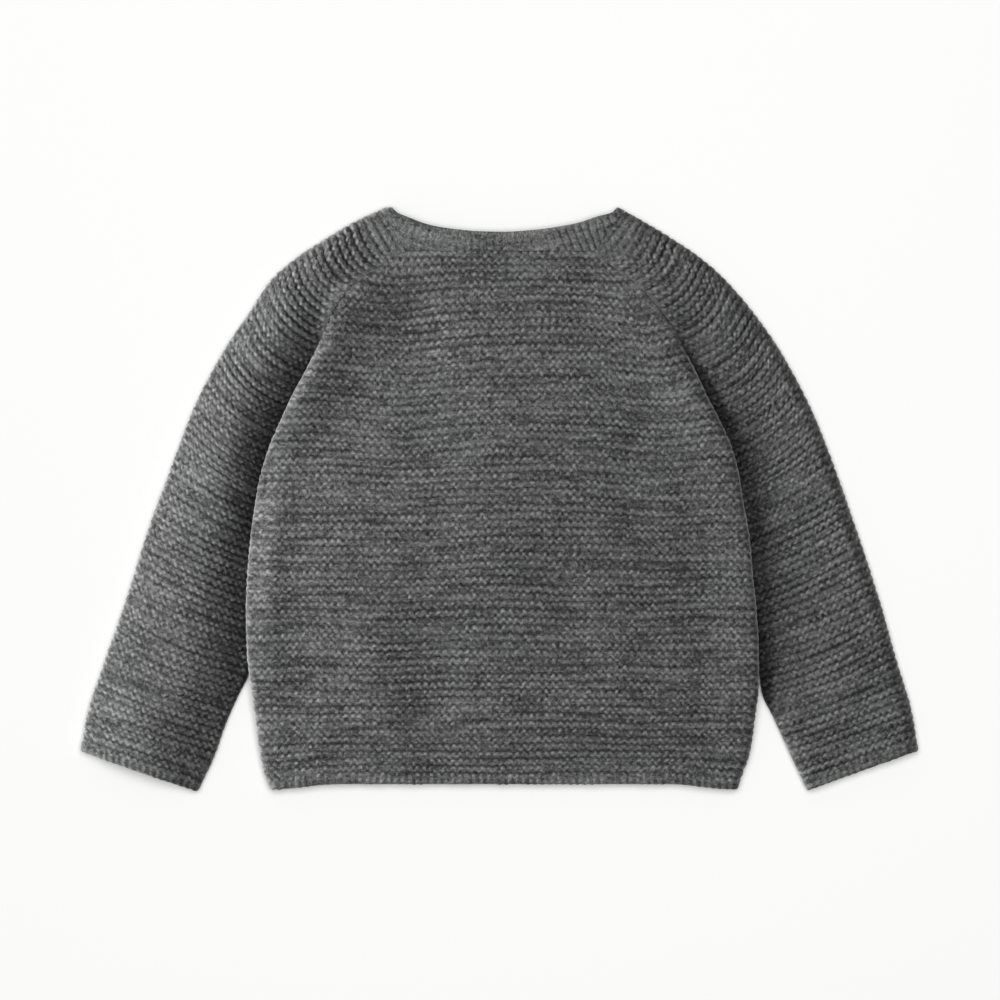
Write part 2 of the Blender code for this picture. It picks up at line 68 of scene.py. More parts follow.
HEM_FROM = -120.0  # y below which the rows follow the hem's line
HEM_BASE = -163.5  # y of the sections that become the hem
FRONT_SHORT = 0.8  # how much shorter the fronts are
UNDERARM = 0.0  # y where the raglan ends and the side seam starts
NECK_SEAM = 139.6  # y of the back's neck seam
FRONT_APEX = 133.0  # y where a front's raglan meets the neckband
FRONT_BELOW = 3.0  # how far below that its last row of stitches is
RAGLAN_LOW = 110.0  # y by which a sleeve's lower raglan has come level with the upper one
CREST = 8.4  # height of a sleeve along its middle
SIDE_POINTS, SEAM_POINTS, CROWN_POINTS, FRONT_POINTS = 24, 10, 18, 120  # points along the body's sections
UPPER_POINTS, QUARTER_POINTS, HALF_POINTS = 60, 8, 16  # points along a sleeve's rows: a wall, its folds
FOLD = (4.0, 3.6)  # outer radius of a sleeve's outer fold, at the neck and from there on
FOLD_SETTLES = 0.15  # share of the length over which the fold and crest change from the neck
ROW_SAG = 0.035  # how far a sleeve's row bows towards the cuff, as a share of its width
SAG_STARTS, SAG_ENDS = 0.07, 0.8  # shares of the length by which the rows begin to bow, and from which less
ROW_BOW = 0.09  # how much more the stitches' rows bow over the shoulder
BOW_FROM, BOW_RUN = 0.22, 0.34  # shares of the length from and over which that ends
SHOULDER_GAP = 0.6  # the neckband's clearance along the sleeves' neck ends
SHOULDER_SHARES = (0.35, 0.7)  # the neckband's rows between a front's raglan and the shoulder fold
BAND_TURNS = 13  # and round that fold
TURN_RUN = 2.6  # least length of cloth in a turned-down edge
BUTTONS = 5
BUTTON_RADIUS = 5.6
BUTTON_THICK = 2.2
BUTTON_TOP, BUTTON_PITCH = 94.0, 56.0  # y of the top button, and the distance to the next
BUTTON_ROOM = 0.3  # between a button and the cloth round it
BUTTON_RIM = 1.1  # the rim's width
BUTTON_SLOPE = 0.5  # width of the slope from the rim down to the dished face
BUTTON_DISH = 0.6  # how deep the face is dished
BUTTON_ROUND = 0.32  # how far its edges are rounded off
BUTTON_HOLE, HOLE_AWAY = 0.62, 1.2  # a hole's radius, and how far it is from the middle each way
CUT_PAST = 1.0  # how far a cutter passes what it cuts
THREAD = 0.28  # the thread's radius
THREAD_TURN, THREAD_FLAT = 1.0, 0.5  # the height where it turns across, and how flat its bend is

# The back's outline from above: the raglan down to the underarm, then the side down to the hem.
BODY = (
    ("y", "left", "right"),
    (139.6, -52.0, 53.4),
    (132.0, -65.3, 62.0),
    (126.0, -73.6, 70.9),
    (119.0, -82.5, 79.2),
    (111.0, -89.6, 86.6),
    (103.0, -94.4, 93.2),
    (93.0, -98.6, 99.9),
    (84.0, -103.0, 104.2),
    (72.0, -109.2, 110.8),
    (58.0, -116.9, 117.5),
    (44.0, -123.2, 124.6),
    (29.0, -129.5, 131.0),
    (12.0, -134.6, 135.4),
    (0.0, -136.8, 137.2),
    (-22.0, -139.8, 141.0),
    (-44.0, -141.7, 142.9),
    (-62.0, -142.4, 144.8),
    (-86.0, -141.8, 146.2),
    (-103.0, -139.9, 146.3),
    (-124.0, -137.2, 144.1),
    (-142.0, -135.0, 141.5),
    (-156.0, -132.0, 136.9),
    (-164.0, -128.4, 134.2),
)
# How the body's side edge is shaped. rim: the back's height there. lift: the height of the front's
# underside, which the sleeve raises. roll: degrees that the back turns down. under and floor: how far the
# sleeve's upper and lower walls pass the edge. seam: the upper wall's height there. front: the front's inset.
EDGE = (
    ("y", "rim", "lift", "roll", "under", "seam", "floor", "front"),
    (140.0, 8.0, 0.0, 8.0, -0.9, 8.0, -0.4, 0.5),
    (120.0, 8.0, 0.0, 8.0, -0.8, 8.0, -0.4, 0.5),
    (106.0, 8.1, 0.0, 20.0, -0.6, 8.0, -0.3, 0.4),
    (86.0, 8.6, 0.0, 40.0, -0.4, 7.5, 0.2, 0.8),
    (72.0, 9.2, 0.0, 58.0, -0.3, 6.9, 1.1, 1.7),
    (60.0, 9.9, 0.8, 74.0, -0.3, 6.2, 2.2, 2.9),
    (48.0, 10.5, 3.0, 90.0, 0.0, 5.7, 2.5, 2.9),
    (36.0, 11.0, 4.6, 106.0, 0.8, 5.3, 5.0, 2.9),
    (24.0, 11.3, 5.6, 116.0, 2.2, 5.2, 6.6, 2.9),
    (0.0, 11.4, 5.6, SIDE_SEAM, 6.2, 5.2, 8.0, 2.9),
    (-90.0, 11.4, 5.6, SIDE_SEAM, 6.2, 5.2, 8.0, 2.9),
    (-112.0, 10.4, 4.0, SIDE_SEAM, 6.2, 5.6, 8.0, 2.9),
    (-138.0, 8.9, 1.4, SIDE_SEAM, 6.2, 6.2, 8.0, 2.9),
    (-158.0, 8.0, 0.0, SIDE_SEAM, 6.2, 6.4, 8.0, 2.9),
    (-166.0, 8.0, 0.0, SIDE_SEAM, 6.2, 6.4, 8.0, 2.9),
)
SLEEVE_OUTER = {  # the outer fold, from the neck to the cuff
    "left": (
        ("x", "y"),
        (-67.2, 162.8),
        (-80.4, 156.9),
        (-99.6, 145.7),
        (-116.4, 134.4),
        (-128.8, 123.2),
        (-140.1, 106.3),
        (-155.3, 83.8),
        (-172.7, 50.1),
        (-185.6, 16.3),
        (-198.0, -17.4),
        (-210.4, -56.8),
        (-222.2, -90.6),
        (-232.2, -121.0),
        (-236.0, -141.5),
    ),
    "right": (
        ("x", "y"),
        (71.4, 161.8),
        (80.4, 156.9),
        (99.0, 145.7),
        (115.3, 134.4),
        (127.7, 123.2),
        (142.3, 106.3),
        (158.1, 83.8),
        (176.1, 50.1),
        (189.6, 16.3),
        (201.4, -17.4),
        (214.3, -56.8),
        (223.9, -90.6),
        (232.8, -121.0),
        (236.0, -141.5),
    ),
}
SLEEVE_INNER = {  # the inner fold, from the underarm to the cuff
    "left": (
        ("y", "x"),
        (0.0, -128.8),
        (-35.0, -133.8),
        (-70.0, -138.0),
        (-98.0, -140.8),
        (-110.0, -146.3),
        (-125.0, -153.0),
        (-147.0, -161.0),
        (-164.8, -169.6),
    ),
    "right": (
        ("y", "x"),
        (0.0, 129.2),
        (-35.0, 135.2),
        (-70.0, 141.0),
        (-98.0, 146.4),
        (-110.0, 148.2),
        (-122.6, 154.3),
        (-149.0, 166.2),
        (-164.2, 173.4),
    ),
}
# The neckband's two edges from the centre front to the raglan, as shares of the way to it, and their y.
BAND_FRONT = (
    ("seam", "seam_y", "neck", "neck_y"),
    (0.0, 103.5, 0.0, 114.0),
    (0.25, 105.0, 0.22, 115.4),
    (0.5, 110.0, 0.43, 119.6),
    (0.74, 118.5, 0.62, 126.8),
    (0.89, 126.2, 0.74, 134.3),
    (1.0, 133.0, 0.82, 141.5),
)
# From the shoulder to the centre back: the neck edge, and how far its seam edge is along the sleeve's neck
# end, or past 1 along the back's neck seam towards the centre.
BAND_BACK = {
    "left": (
        ("x", "y", "seam"),
        (-50.0, 158.1, 0.78),
        (-44.5, 155.9, 1.02),
        (-37.0, 153.7, 1.2),
        (-26.4, 152.0, 1.45),
        (-11.0, 150.6, 1.75),
    ),
    "right": (
        ("x", "y", "seam"),
        (53.5, 158.4, 0.78),
        (46.5, 155.9, 1.02),
        (37.0, 153.8, 1.22),
        (20.0, 151.4, 1.6),
    ),
}
BAND_CENTRE = (2.8, 150.3)  # the neck edge at the centre back
PEAK = {"left": (-60.8, 164.0), "right": (66.8, 164.0)}  # the neck edge's ends at the shoulder folds
PEAK_FACING = {"left": (-0.75, 0.66), "right": (0.75, 0.66)}  # which way those folds face

# The knitting.
STITCH = 4.0  # across one stitch
RIDGE = 4.5  # from one garter ridge to the next
ACROSS = 4  # columns of faces in a stitch
ALONG = 5  # rows of faces in a ridge
DEPTH = 1.1  # from a ridge's top down to the valley beside it
SLEEVE_DEPTH = {"left": 1.2, "right": 0.86}  # the same on the sleeves
PROUD = 0.3  # how far a ridge's top stands over the solid's face
SWAY = 0.04  # how far a ridge sways up and down at each stitch, in ridges
ROW_DRIFT = 0.16  # how far the rows stray from even, in ridges
SWAY_FADE = 3.0  # how near a panel's first and last rows they lie straight
ROW_LEVEL, ROW_RIDGE, ROW_SPLIT = 0.52, 0.33, 0.20  # a row: its mean, its ridge, the split of that in two
BUMP, BUMP_OWN = 0.20, 0.16  # how much the bumps of a ridge stand up, and how much that varies
VALLEY_OWN, RIDGE_OWN = 0.30, 0.10  # how much the depth of the valleys and the height of the ridges vary
ROW_LIMITS = (-0.3, 1.15)  # the lowest and highest that a stitch may be
UPPER = 0.3  # how much stronger a ridge's upper bumps are than its lower ones
LEAN = 0.30  # how much more the bumps run up to the left than to the right
DEAD = 0.35  # the share of their relief that stitches keep at a seam
SEAM_LEVEL = 0.70  # the height of the cloth where they die away
TURNED_LEVEL, TURNED_SHARE = 0.8, 0.25  # the same where the cloth turns down, and how far it goes to that
TURNED_FROM, TURNED_RUN = 0.8, 0.6  # how upright the way out of the cloth is there, and over what it changes
TURNED_PLAIN = 0.3  # the share of the bumps' painted highlight and shade, and of their own tone, that is lost there
NECK_FADE = 24.0  # how far from the neckband the sleeves' stitches come to their full relief
FAR_BELOW = -1000.0  # y of a sleeve's rows that have no raglan
SCALLOP = 0.85  # how far the edge draws in between its stitches
EDGING = 4.2  # width of the plainer edge at the hem and cuffs
EDGING_IN, EDGING_RUN = 1.5, 2.5  # how far before its end it turns to garter stitch, and how soon
EDGING_BUMP, EDGING_OWN = 0.22, 0.14  # how much its stitches stand up, and how much that varies
SEAM_REACH = 0.46  # the share of a seam's gap that each side stretches over
SEAM_CLOSE = 0.27  # the same at the neck seams, in millimetres
LEVEL_FROM, LEVEL_RUN = 95.0, 40.0  # y from which the raglan's two sides meet level, and how soon they do
ROUND_HIGH, ROUND_LOW = 0.08, 0.45  # how much the cloth is rounded off at the raglan there, and further down
FADE, FADE_MORE = 2.6, 3.2  # width over which the stitches die away at the raglan, and how much more it gets
FADE_Y, FADE_REACH = 114.0, 13.0  # y where it is widest, and how far up and down that reaches
LEVEL_SEAM = 0.2  # a face rounded off by less than this meets its neighbour level
EDGE_ROUND = 1.2  # how far in from a cut edge its face is rounded off
INNER_IN = 0.1  # how far the inner face stays inside the solid's
INNER_RELIEF = 0.6  # the height that the inner face is shaded as
RIB = 4.2  # across one rib of the neckband
RIB_DEPTH = 0.8
RIB_FAINT, RIB_MORE, RIB_OWN = 0.32, 0.5, 0.18  # how clear the ribs are, more on the right, and by chance
RIB_CLEAR = (22.0, 18.0)  # x from which they are clearer, and how soon
RIB_LEVEL, RIB_VEE, RIB_CHANCE = 0.82, 0.10, 0.12  # a rib's height, its slanting stitches, its chance
BAND_BOUND = 2.0  # width of the rounded edge at the neck
BAND_ROUNDS = ((1.4, 0.35), (1.0, 0.12))  # width and fall of its rounded edges, at the neck and at the seam
RIB_FINE, BAND_WIDE = 8, 14  # faces across a rib, and points from the neck edge to the seam
BAND_INNER = (0, 4, 9, BAND_WIDE - 1)  # those of them that the inner face has
BAND_VEE = 3.0  # from one slanting stitch of a rib to the next
BAND_PROUD = 0.15  # how far a rib's top stands over the solid's face
BAND_BELLY = 0.35  # and how much more along the band's middle

# Soft folds and hollows of the cloth where it lies: the middle, the reach along and across, the turn of the
# long way from +X in degrees, and the rise, or fall below zero.
BACK_FOLDS = (
    ("x", "y", "long", "wide", "turn", "rise"),
    (-2.0, -20.0, 85.0, 18.0, 90.0, 0.8),
    (-44.0, 98.0, 26.0, 20.0, 84.0, -2.4),
    (-66.0, 96.0, 18.0, 10.0, 65.0, 0.6),
    (-74.0, 62.0, 12.0, 10.0, 90.0, -0.6),
    (-72.0, -82.0, 44.0, 20.0, 93.0, 1.9),
    (-100.0, -128.0, 20.0, 12.0, 85.0, 0.8),
    (-45.0, -121.0, 20.0, 13.0, 150.0, -0.9),
    (68.0, -104.0, 16.0, 13.0, 100.0, 0.8),
    (118.0, -128.0, 22.0, 11.0, 90.0, -0.5),
    (76.0, 18.0, 26.0, 14.0, 80.0, -0.8),
    (80.0, 100.0, 22.0, 10.0, 115.0, 0.9),
    (-12.0, 133.0, 10.0, 8.0, 90.0, 0.7),
    (38.0, -60.0, 24.0, 13.0, 100.0, -0.6),
)
SLEEVE_FOLDS = {  # from the neck along the outer fold, and in from it
    "left": (
        ("along", "in", "long", "wide", "rise"),
        (70.0, 22.0, 16.0, 14.0, 0.7),
        (128.0, 36.0, 14.0, 18.0, -0.7),
        (176.0, 30.0, 15.0, 16.0, 0.6),
        (228.0, 40.0, 13.0, 20.0, -0.8),
        (275.0, 26.0, 15.0, 16.0, 0.6),
        (322.0, 44.0, 13.0, 16.0, -0.6),
    ),
    "right": (
        ("along", "in", "long", "wide", "rise"),
        (82.0, 24.0, 16.0, 14.0, 0.7),
        (140.0, 34.0, 15.0, 18.0, -0.6),
        (198.0, 30.0, 15.0, 16.0, 0.7),
        (250.0, 38.0, 13.0, 18.0, -0.8),
        (305.0, 28.0, 15.0, 16.0, 0.6),
    ),
}
SLEEVE_SWELL = {"left": 5.2, "right": -0.1}  # how much rounder a sleeve lies than its plain solid
SWELL_SETTLES = 0.3  # share of the sleeve's length over which it comes to that
SLEEVE_CREST = {"left": 0.50, "right": 0.95}  # where it is highest, from its inner edge to its outer fold
ROUND_RISE, ROUND_FALL = 1.1, 1.8  # how late the rounder left sleeve rises to its crest and comes down
FLAT_RISE, FLAT_FALL = 2.1, 1.2  # the same for the flatter right one
RAGLAN_RISE = {"left": 3.4, "right": 2.8}  # how much the cloth stands up beside the upper raglan
RAGLAN_UP = (20.0, 50.0)  # y from which it rises to that, and how soon
RAGLAN_DOWN = (112.0, 20.0)  # y from which it falls again, and how soon
RAGLAN_REACH = 22.0  # how far that reaches over the back
SLEEVE_REACH = {"left": 6.5, "right": 14.0}  # and how far over the sleeve
RAGLAN_HIGH = {"left": 88.0, "right": 82.0}  # y above which the sleeve stands up too
RAGLAN_SOON = {"left": 14.0, "right": 20.0}  # over how much of the raglan it comes to that
RAGLAN_STEP = 0.4  # the share of the rise at the seam itself, below RAGLAN_HIGH
RAGLAN_CLIMB = (-1.0, 9.0)  # from where and how far in from the seam the back comes to its whole rise
SLEEVE_TUCK = {"left": 0.0, "right": 1.2}  # how much the sleeve stands up where it is tucked against the body
TUCK_REACH = 25.0  # how far that reaches over the sleeve
TUCK_CLIMB = (0.0, 9.0)  # from where and how far over the sleeve it comes to that
TUCK_TOP = (62.0, 30.0)  # y from which it dies away, and how soon
FOLD_HELD = (4.0, 10.0)  # how far from the outer fold a sleeve begins to stand up, and how soon
FOLDS_CLEAR = (0.0, 12.0)  # the same for its soft folds, from either edge
ROOF = 5.0  # how much the body's left half stands over its right one
ROOF_Y, ROOF_REACH = -25.0, 52.0  # y where it does so fully, and how soon that fades up and down
ROOF_RIDGE, ROOF_EAVES = 2.0, 112.0  # x between which it comes down to the right
ROOF_RUN = 16.0  # how far in from the left side it rises to that
ROOF_SOFT = 0.02  # how soft the corners of its slope are
RIM_SWELL = 0.5  # how much the body's thick sides stand over their plain solid
RIM_IN = (0.0, 11.0)  # from where and how far in from the side they come to that
MIDDLE_SWELL = 2.2  # how much more its middle does
MIDDLE_IN = (8.0, 34.0)  # the same for that
DOME = 1.0  # and how much more again its very middle
DOME_IN = (15.0, 120.0)  # and for that
SWELL_TOP = (10.0, 90.0)  # y from which all these die away up the body, and how soon
FOLDS_IN = (6.0, 30.0)  # from where and how far in from the sides the soft folds come to their height
NECK_HELD = 8.0  # how far below the neck seam they do
HEM_FLAT, HEM_RUN = 8.0, 36.0  # how far up from the hem the cloth stays plain, and how soon it then swells
ROW_WAVES = (  # how the back's rows are pulled up and down
    ("x", "reach", "up"),
    (-54.0, 24.0, -2.6),
    (22.0, 44.0, 1.6),
    (92.0, 24.0, -3.2),
)
WAVE_LOW, WAVE_UP = 0.15, (-90.0, 180.0)  # its share low down, and y from which it grows and how soon
WAVE_SIDES = (2.0, 16.0)  # from where and how far in from the sides the rows come to bend
WAVE_NECK, WAVE_HEM = (1.0, 14.0), (6.0, 30.0)  # the same from the neck seam and from the hem's border
ROW_STRAY = 0.5  # how far they stray besides
STRAY_WIDE, STRAY_HIGH = 34.0, 26.0  # and over what width and height
CREASE_X, CREASE_WIDE, CREASE_DEEP = -38.0, 10.0, 0.9  # the crease under the neckband: middle, reach, depth
CREASE_RUN = 1.6  # how far it reaches from the seam

# Finishes.
KNIT_DARK = (0.0410, 0.0410, 0.0411)
KNIT_LIGHT = (0.2850, 0.2855, 0.2855)
MARL_MIDDLE = 0.41  # how light the yarn is between those two, on the whole
MARL = (  # what varies it: how often along and across a row, how finely, and by how much
    ("what", "wide", "high", "detail", "roughness", "seed", "weight"),
    ("streaks", 0.13, 0.9, 2.0, 0.6, 3.1, 0.26),
    ("flecks", 1.9, 2.2, 3.0, 0.6, 8.3, 0.36),
    ("hairs", 3.4, 4.4, 3.0, 0.7, 1.9, 0.30),
)
KNIT_COOL = (0.985, 1.0, 0.995)  # the tint of the cooler stretches of yarn
PAINTED_SHADE_TINT = (0.30, 0.30, 0.30)  # painted shade: how dark the deepest places are painted against the rest
# The colour of the painted sheen where the cloth is seen edge on.
EDGE_SHEEN_COLOUR = (0.40, 0.401, 0.401)
EDGE_SHEEN_PAINT = 0.55  # painted sheen: how much of that colour is painted where the cloth is seen edge on
BUMP_PAINTED_HIGHLIGHT = 0.38  # painted highlight: how much lighter the bumps' tops are painted
HOLE_PAINTED_SHADE = 0.26  # painted shade: how much darker the holes beside the bumps are painted
OWN_SHADE = 0.16  # how much lighter or darker one bump may be
RESIN_DARK = (0.045, 0.046, 0.05)
RESIN_LIGHT = (0.11, 0.112, 0.118)
FLOOR_COLOUR = (0.92, 0.92, 0.91)

# The stage, in metres.
CAMERA_AWAY, CAMERA_WIDE = 2.6, 0.5625  # how far off the camera is, and the width that it sees
CAMERA_LEVEL = 0.006  # the height at which it sees that width
CAMERA_ASIDE = (0.00056, -0.00056)  # its place over the origin
ROOM_LIGHT = 0.20  # the even light all round
LAMPS = (  # square lamps that face the origin: their side, watts, distance, turn from +X and rise in degrees
    ("name", "size", "power", "away", "turn", "rise"),
    ("key", 0.8, 89.0, 1.9, 172.0, 17.5),
    ("fill", 1.0, 32.0, 2.6, 4.0, 8.0),
    ("floor lamp", 3.0, 125.0, 3.4, 100.0, 84.0),
)
FLOOR_SIZE, FLOOR_DOWN = 8.0, 0.0003  # the floor's side, and how far below the cloth it lies


# ---------------------------------------------------------------- curves and tables


def smooth(t):
    """0 to 1 with level ends."""
    t = np.clip(t, 0.0, 1.0)
    return t * t * (3 - 2 * t)


def rising(value, start, run):
    """0 up to a start and 1 from a run past it, with level ends."""
    return smooth((value - start) / run)


def column(table, name):
    """One named column of a table."""
    at = table[0].index(name)
    return np.array([row[at] for row in table[1:]], float)


def through(keys, values, at):
    """The smooth curve through the values at rising keys, which never overshoots them."""
    keys, values = np.asarray(keys, float), np.asarray(values, float)
    step = np.diff(keys)
    rise = np.diff(values) / step
    both = rise[:-1] * rise[1:]
    inner = np.where(both > 0, 2 * both / np.where(both > 0, rise[:-1] + rise[1:], 1.0), 0.0)
    slope = np.concatenate((rise[:1], inner, rise[-1:]))
    at = np.clip(at, keys[0], keys[-1])
    i = np.clip(np.searchsorted(keys, at) - 1, 0, len(step) - 1)
    t = (at - keys[i]) / step[i]
    lean = slope[i] * t * (1 - t) ** 2 + slope[i + 1] * t * t * (t - 1)
    return values[i] + (values[i + 1] - values[i]) * smooth(t) + step[i] * lean


def read(table, name, y):
    """A column of a table whose first column is a falling y."""
    return through(-column(table, table[0][0]), column(table, name), -y)


def lengths(points):
    """Distances along a line of points from its start."""
    steps = np.linalg.norm(np.diff(np.array(points, float), axis=0), axis=1)
    return np.concatenate(([0.0], np.cumsum(steps)))


def unit(vector):
    """The vector at length 1."""
    return vector / np.linalg.norm(vector)


def unit_rows(vectors):
    """Each vector of an array at length 1."""
    return vectors / np.maximum(np.linalg.norm(vectors, axis=-1, keepdims=True), 1e-9)


def chance(seed):
    """A square table of even chances from -1 to 1, the same on every run."""
    return np.random.RandomState(seed).uniform(-1.0, 1.0, (256, 256))


def drift(u, v, seed):
    """Soft random values on a lattice of unit cells."""
    table = chance(seed)
    iu, iv = np.floor(u).astype(int), np.floor(v).astype(int)
    fu, fv = smooth(u - iu), smooth(v - iv)
    low = table[iv % 256, iu % 256] * (1 - fu) + table[iv % 256, (iu + 1) % 256] * fu
    high = table[(iv + 1) % 256, iu % 256] * (1 - fu) + table[(iv + 1) % 256, (iu + 1) % 256] * fu
    return low * (1 - fv) + high * fv


def bell(away, reach):
    """1 in the middle, dying away over the reach."""
    return np.exp(-((away / reach) ** 2))


def each(u, v, seed):
    """A random value for each whole pair of numbers."""
    return chance(seed)[np.round(v).astype(int) % 256, np.round(u).astype(int) % 256]


# ---------------------------------------------------------------- the body's form


def outward(side):
    """Which way is out of the body on a side."""
    return -1.0 if side == "left" else 1.0


def edge(y, side):
    """The body's side edge at y, and its shape there."""
    shape = {name: float(read(EDGE, name, y)) for name in EDGE[0][1:]}
    shape["x"] = float(read(BODY, side, y))
    gentle = HALF + TURN_RUN / math.radians(shape["roll"])
    shape["radius"] = max((shape["rim"] - shape["lift"]) / 2, gentle)
    return shape


def side_arc(shape, side, angles):
    """x and z on the middle of the cloth round the side's edge, at degrees from straight up."""
    turned = math.radians(min(shape["roll"], 90.0))
    middle = shape["x"] - outward(side) * shape["radius"] * math.sin(turned)
    radius = shape["radius"] - HALF
    level = shape["rim"] - shape["radius"]
    turns = np.radians(angles)
    return np.stack((middle + outward(side) * radius * np.sin(turns), level + radius * np.cos(turns)), axis=1)


def hem_y(x):
    """The hem's line: level along the middle, lower at its corners."""
    near, far = HEM_CORNER
    return HEM - HEM_DROP * smooth((np.abs(x - CENTRE) - near) / (far - near))


def to_hem(x, y, short=0.0):
    """y of a body section's points, the lowest sections following the hem's line."""
    share = smooth((HEM_FROM - y) / (HEM_FROM - HEM_BASE))
    return y + (hem_y(x) - HEM_BASE + short) * share


def back_half(y, side):
    """x and z from the back's edge to CROWN inside it."""
    shape = edge(y, side)
    turned = side_arc(shape, side, np.linspace(shape["roll"], 0.0, SIDE_POINTS))
    runs = np.linspace(0.0, CROWN, CROWN_POINTS)[1:]
    raised = (shape["rim"] - FLAT) * (1 - smooth(runs / CROWN))
    inner = np.stack((turned[-1, 0] - outward(side) * runs, FLAT + raised - HALF), axis=1)
    return np.concatenate((turned, inner))


def back_line(y):
    """The middle of the back's cloth across it at y, from its left edge to its right one."""
    line = np.concatenate((back_half(y, "left"), back_half(y, "right")[::-1]))
    return line[:, 0], to_hem(line[:, 0], y), line[:, 1]


def front_corner(side):
    """x where a front's raglan meets the neckband."""
    shape = edge(FRONT_APEX, side)
    return shape["x"] - outward(side) * shape["front"]


def lap_height(x, side):
    """How much a front is raised at x by the lap: the right one passes over the left one."""
    if side == "left":
        return 0.0 * x
    return LAP_RISE * smooth((CENTRE + LAP + LAP_EDGE + LAP_STEP - x) / LAP_STEP)


def front_inner(side, y):
    """x of a front's inner edge at y: the centre front, and above it the neck seam."""
    out = outward(side)
    seam_y = column(BAND_FRONT, "seam_y") - GAP
    reach = front_corner(side) - CENTRE
    x = CENTRE + reach * column(BAND_FRONT, "seam")
    x[0] = CENTRE - out * LAP
    return x[0] if y <= seam_y[0] else float(through(seam_y, x, y))


def front_line(side, y):
    """The middle of a front's cloth at y, from its side seam or raglan to its inner edge."""
    shape = edge(y, side)
    out = outward(side)
    inner = front_inner(side, y)
    if y <= SIDE_TOP:
        start = side_arc(shape, side, np.linspace(SIDE_SEAM + SEAM_ANGLE, 180.0, SEAM_POINTS))
    else:
        start = np.array([(shape["x"] - out * shape["front"], shape["lift"] + HALF)])
    x = np.linspace(start[-1, 0], inner, FRONT_POINTS)[1:]
    lifted = shape["x"] - out * (shape["floor"] + 1.0)
    down = smooth((lifted - x) * out / RAMP)
    z = HALF + shape["lift"] * (1 - down) + lap_height(x, side)
    line = np.concatenate((start, np.stack((x, z), axis=1)))
    return line[:, 0], to_hem(line[:, 0], y, FRONT_SHORT), line[:, 1]


# ---------------------------------------------------------------- the sleeves' form


def sleeve_rails(side):
    """Lines along a sleeve, a millimetre at a time: its share of the length, the inner and outer edges."""
    out = outward(side)
    cuff = SLEEVE_INNER[side][-1][0]
    rails = []
    for y in np.append(np.arange(NECK_SEAM, cuff, -1.0), cuff):
        if y > UNDERARM:
            shape = edge(y, side)
            share = smooth((NECK_SEAM - y) / (NECK_SEAM - RAGLAN_LOW))
            low_y = y - (NECK_SEAM - FRONT_APEX) * (1 - share)
            low = edge(low_y, side)
            upper = (shape["x"] - out * shape["under"], y)
            rails.append((*upper, low["x"] - out * low["floor"], low_y, shape["seam"], y))
        else:
            x = float(read(SLEEVE_INNER[side], "x", y))
            rails.append((x, y, x, y, float(read(EDGE, "seam", y)), y))
    rails = np.array(rails)
    along = lengths(rails[:, :2])
    shares = along / along[-1]
    outer = np.stack((column(SLEEVE_OUTER[side], "x"), column(SLEEVE_OUTER[side], "y")), axis=1)
    keys = lengths(outer)
    folds = np.stack([through(keys, outer[:, i], shares * keys[-1]) for i in (0, 1)], axis=1)
    return shares, rails, folds, keys[-1]


def fold_arc(tip, inward, radius, level, angles):
    """The middle of the cloth round a fold whose outer face reaches tip, at angles from straight up."""
    middle = tip + inward * (radius + HALF)
    turns = np.radians(angles)
    spots = middle - inward * (radius * np.sin(turns))[:, None]
    return np.column_stack((spots, level + radius * np.cos(turns)))


def sleeve_line(upper, lower, seam, closed, outer, share, side):
    """Points round a sleeve's row: in along the upper wall, round the outer fold and back below."""
    inward = unit(upper - outer)
    fold = FOLD[1] + (FOLD[0] - FOLD[1]) * (1 - smooth(share / FOLD_SETTLES)) - HALF
    hinge = outer + inward * (fold + HALF)
    if closed:
        radius = (seam - WALL) / 2
        start = fold_arc(upper, -inward, radius, HALF + radius, np.linspace(90.0, 0.0, QUARTER_POINTS))
        end = fold_arc(upper, -inward, radius, HALF + radius, np.linspace(180.0, 90.0, QUARTER_POINTS))
    else:
        start = np.array([(*upper, seam - HALF)])
        end = np.array([(*lower, HALF)])
    first, last = start[-1, :2], end[0, :2]
    width = np.linalg.norm(hinge - first)
    bowed = ROW_SAG + ROW_BOW * (1 - rising(share, BOW_FROM, BOW_RUN))
    sag = np.array([inward[1], -inward[0]]) * bowed * width * (1 - rising(share, SAG_ENDS, 1 - SAG_ENDS))
    sag *= -1.0 if sag[1] > 0 else 1.0
    sag *= smooth(share / SAG_STARTS)
    tip, top_at = HALF + 2 * fold, SLEEVE_CREST[side]
    crest = tip + (CREST - HALF - tip) * smooth(share / FOLD_SETTLES)
    crest = crest + SLEEVE_SWELL[side] * smooth(share / SWELL_SETTLES)
    t = np.linspace(0.0, 1.0, UPPER_POINTS)[1:-1]
    bow = (4 * t * (1 - t))[:, None] * sag
    climb = np.minimum(t / top_at, 1.0)
    climb = np.sin(np.pi / 2 * climb) ** ROUND_RISE if side == "left" else climb ** FLAT_RISE
    height = start[-1, 2] + (crest - start[-1, 2]) * climb
    past = np.clip((t - top_at) / (1 - top_at), 0.0, 1.0)
    height = height + (tip - crest) * (past ** ROUND_FALL if side == "left" else smooth(past) ** FLAT_FALL)
    top = np.column_stack((first + (hinge - first) * t[:, None] + bow, height))
    turn = fold_arc(outer, inward, fold, HALF + fold, np.linspace(0.0, 180.0, HALF_POINTS))
    below = np.column_stack((hinge + (last - hinge) * t[:, None] + bow, np.full(len(t), HALF)))
    line = np.concatenate((start, top, turn, below, end))
    middle = len(start) + len(top) + (HALF_POINTS - 1) / 2
    return line, middle, inward


# ---------------------------------------------------------------- laying stitches on a form


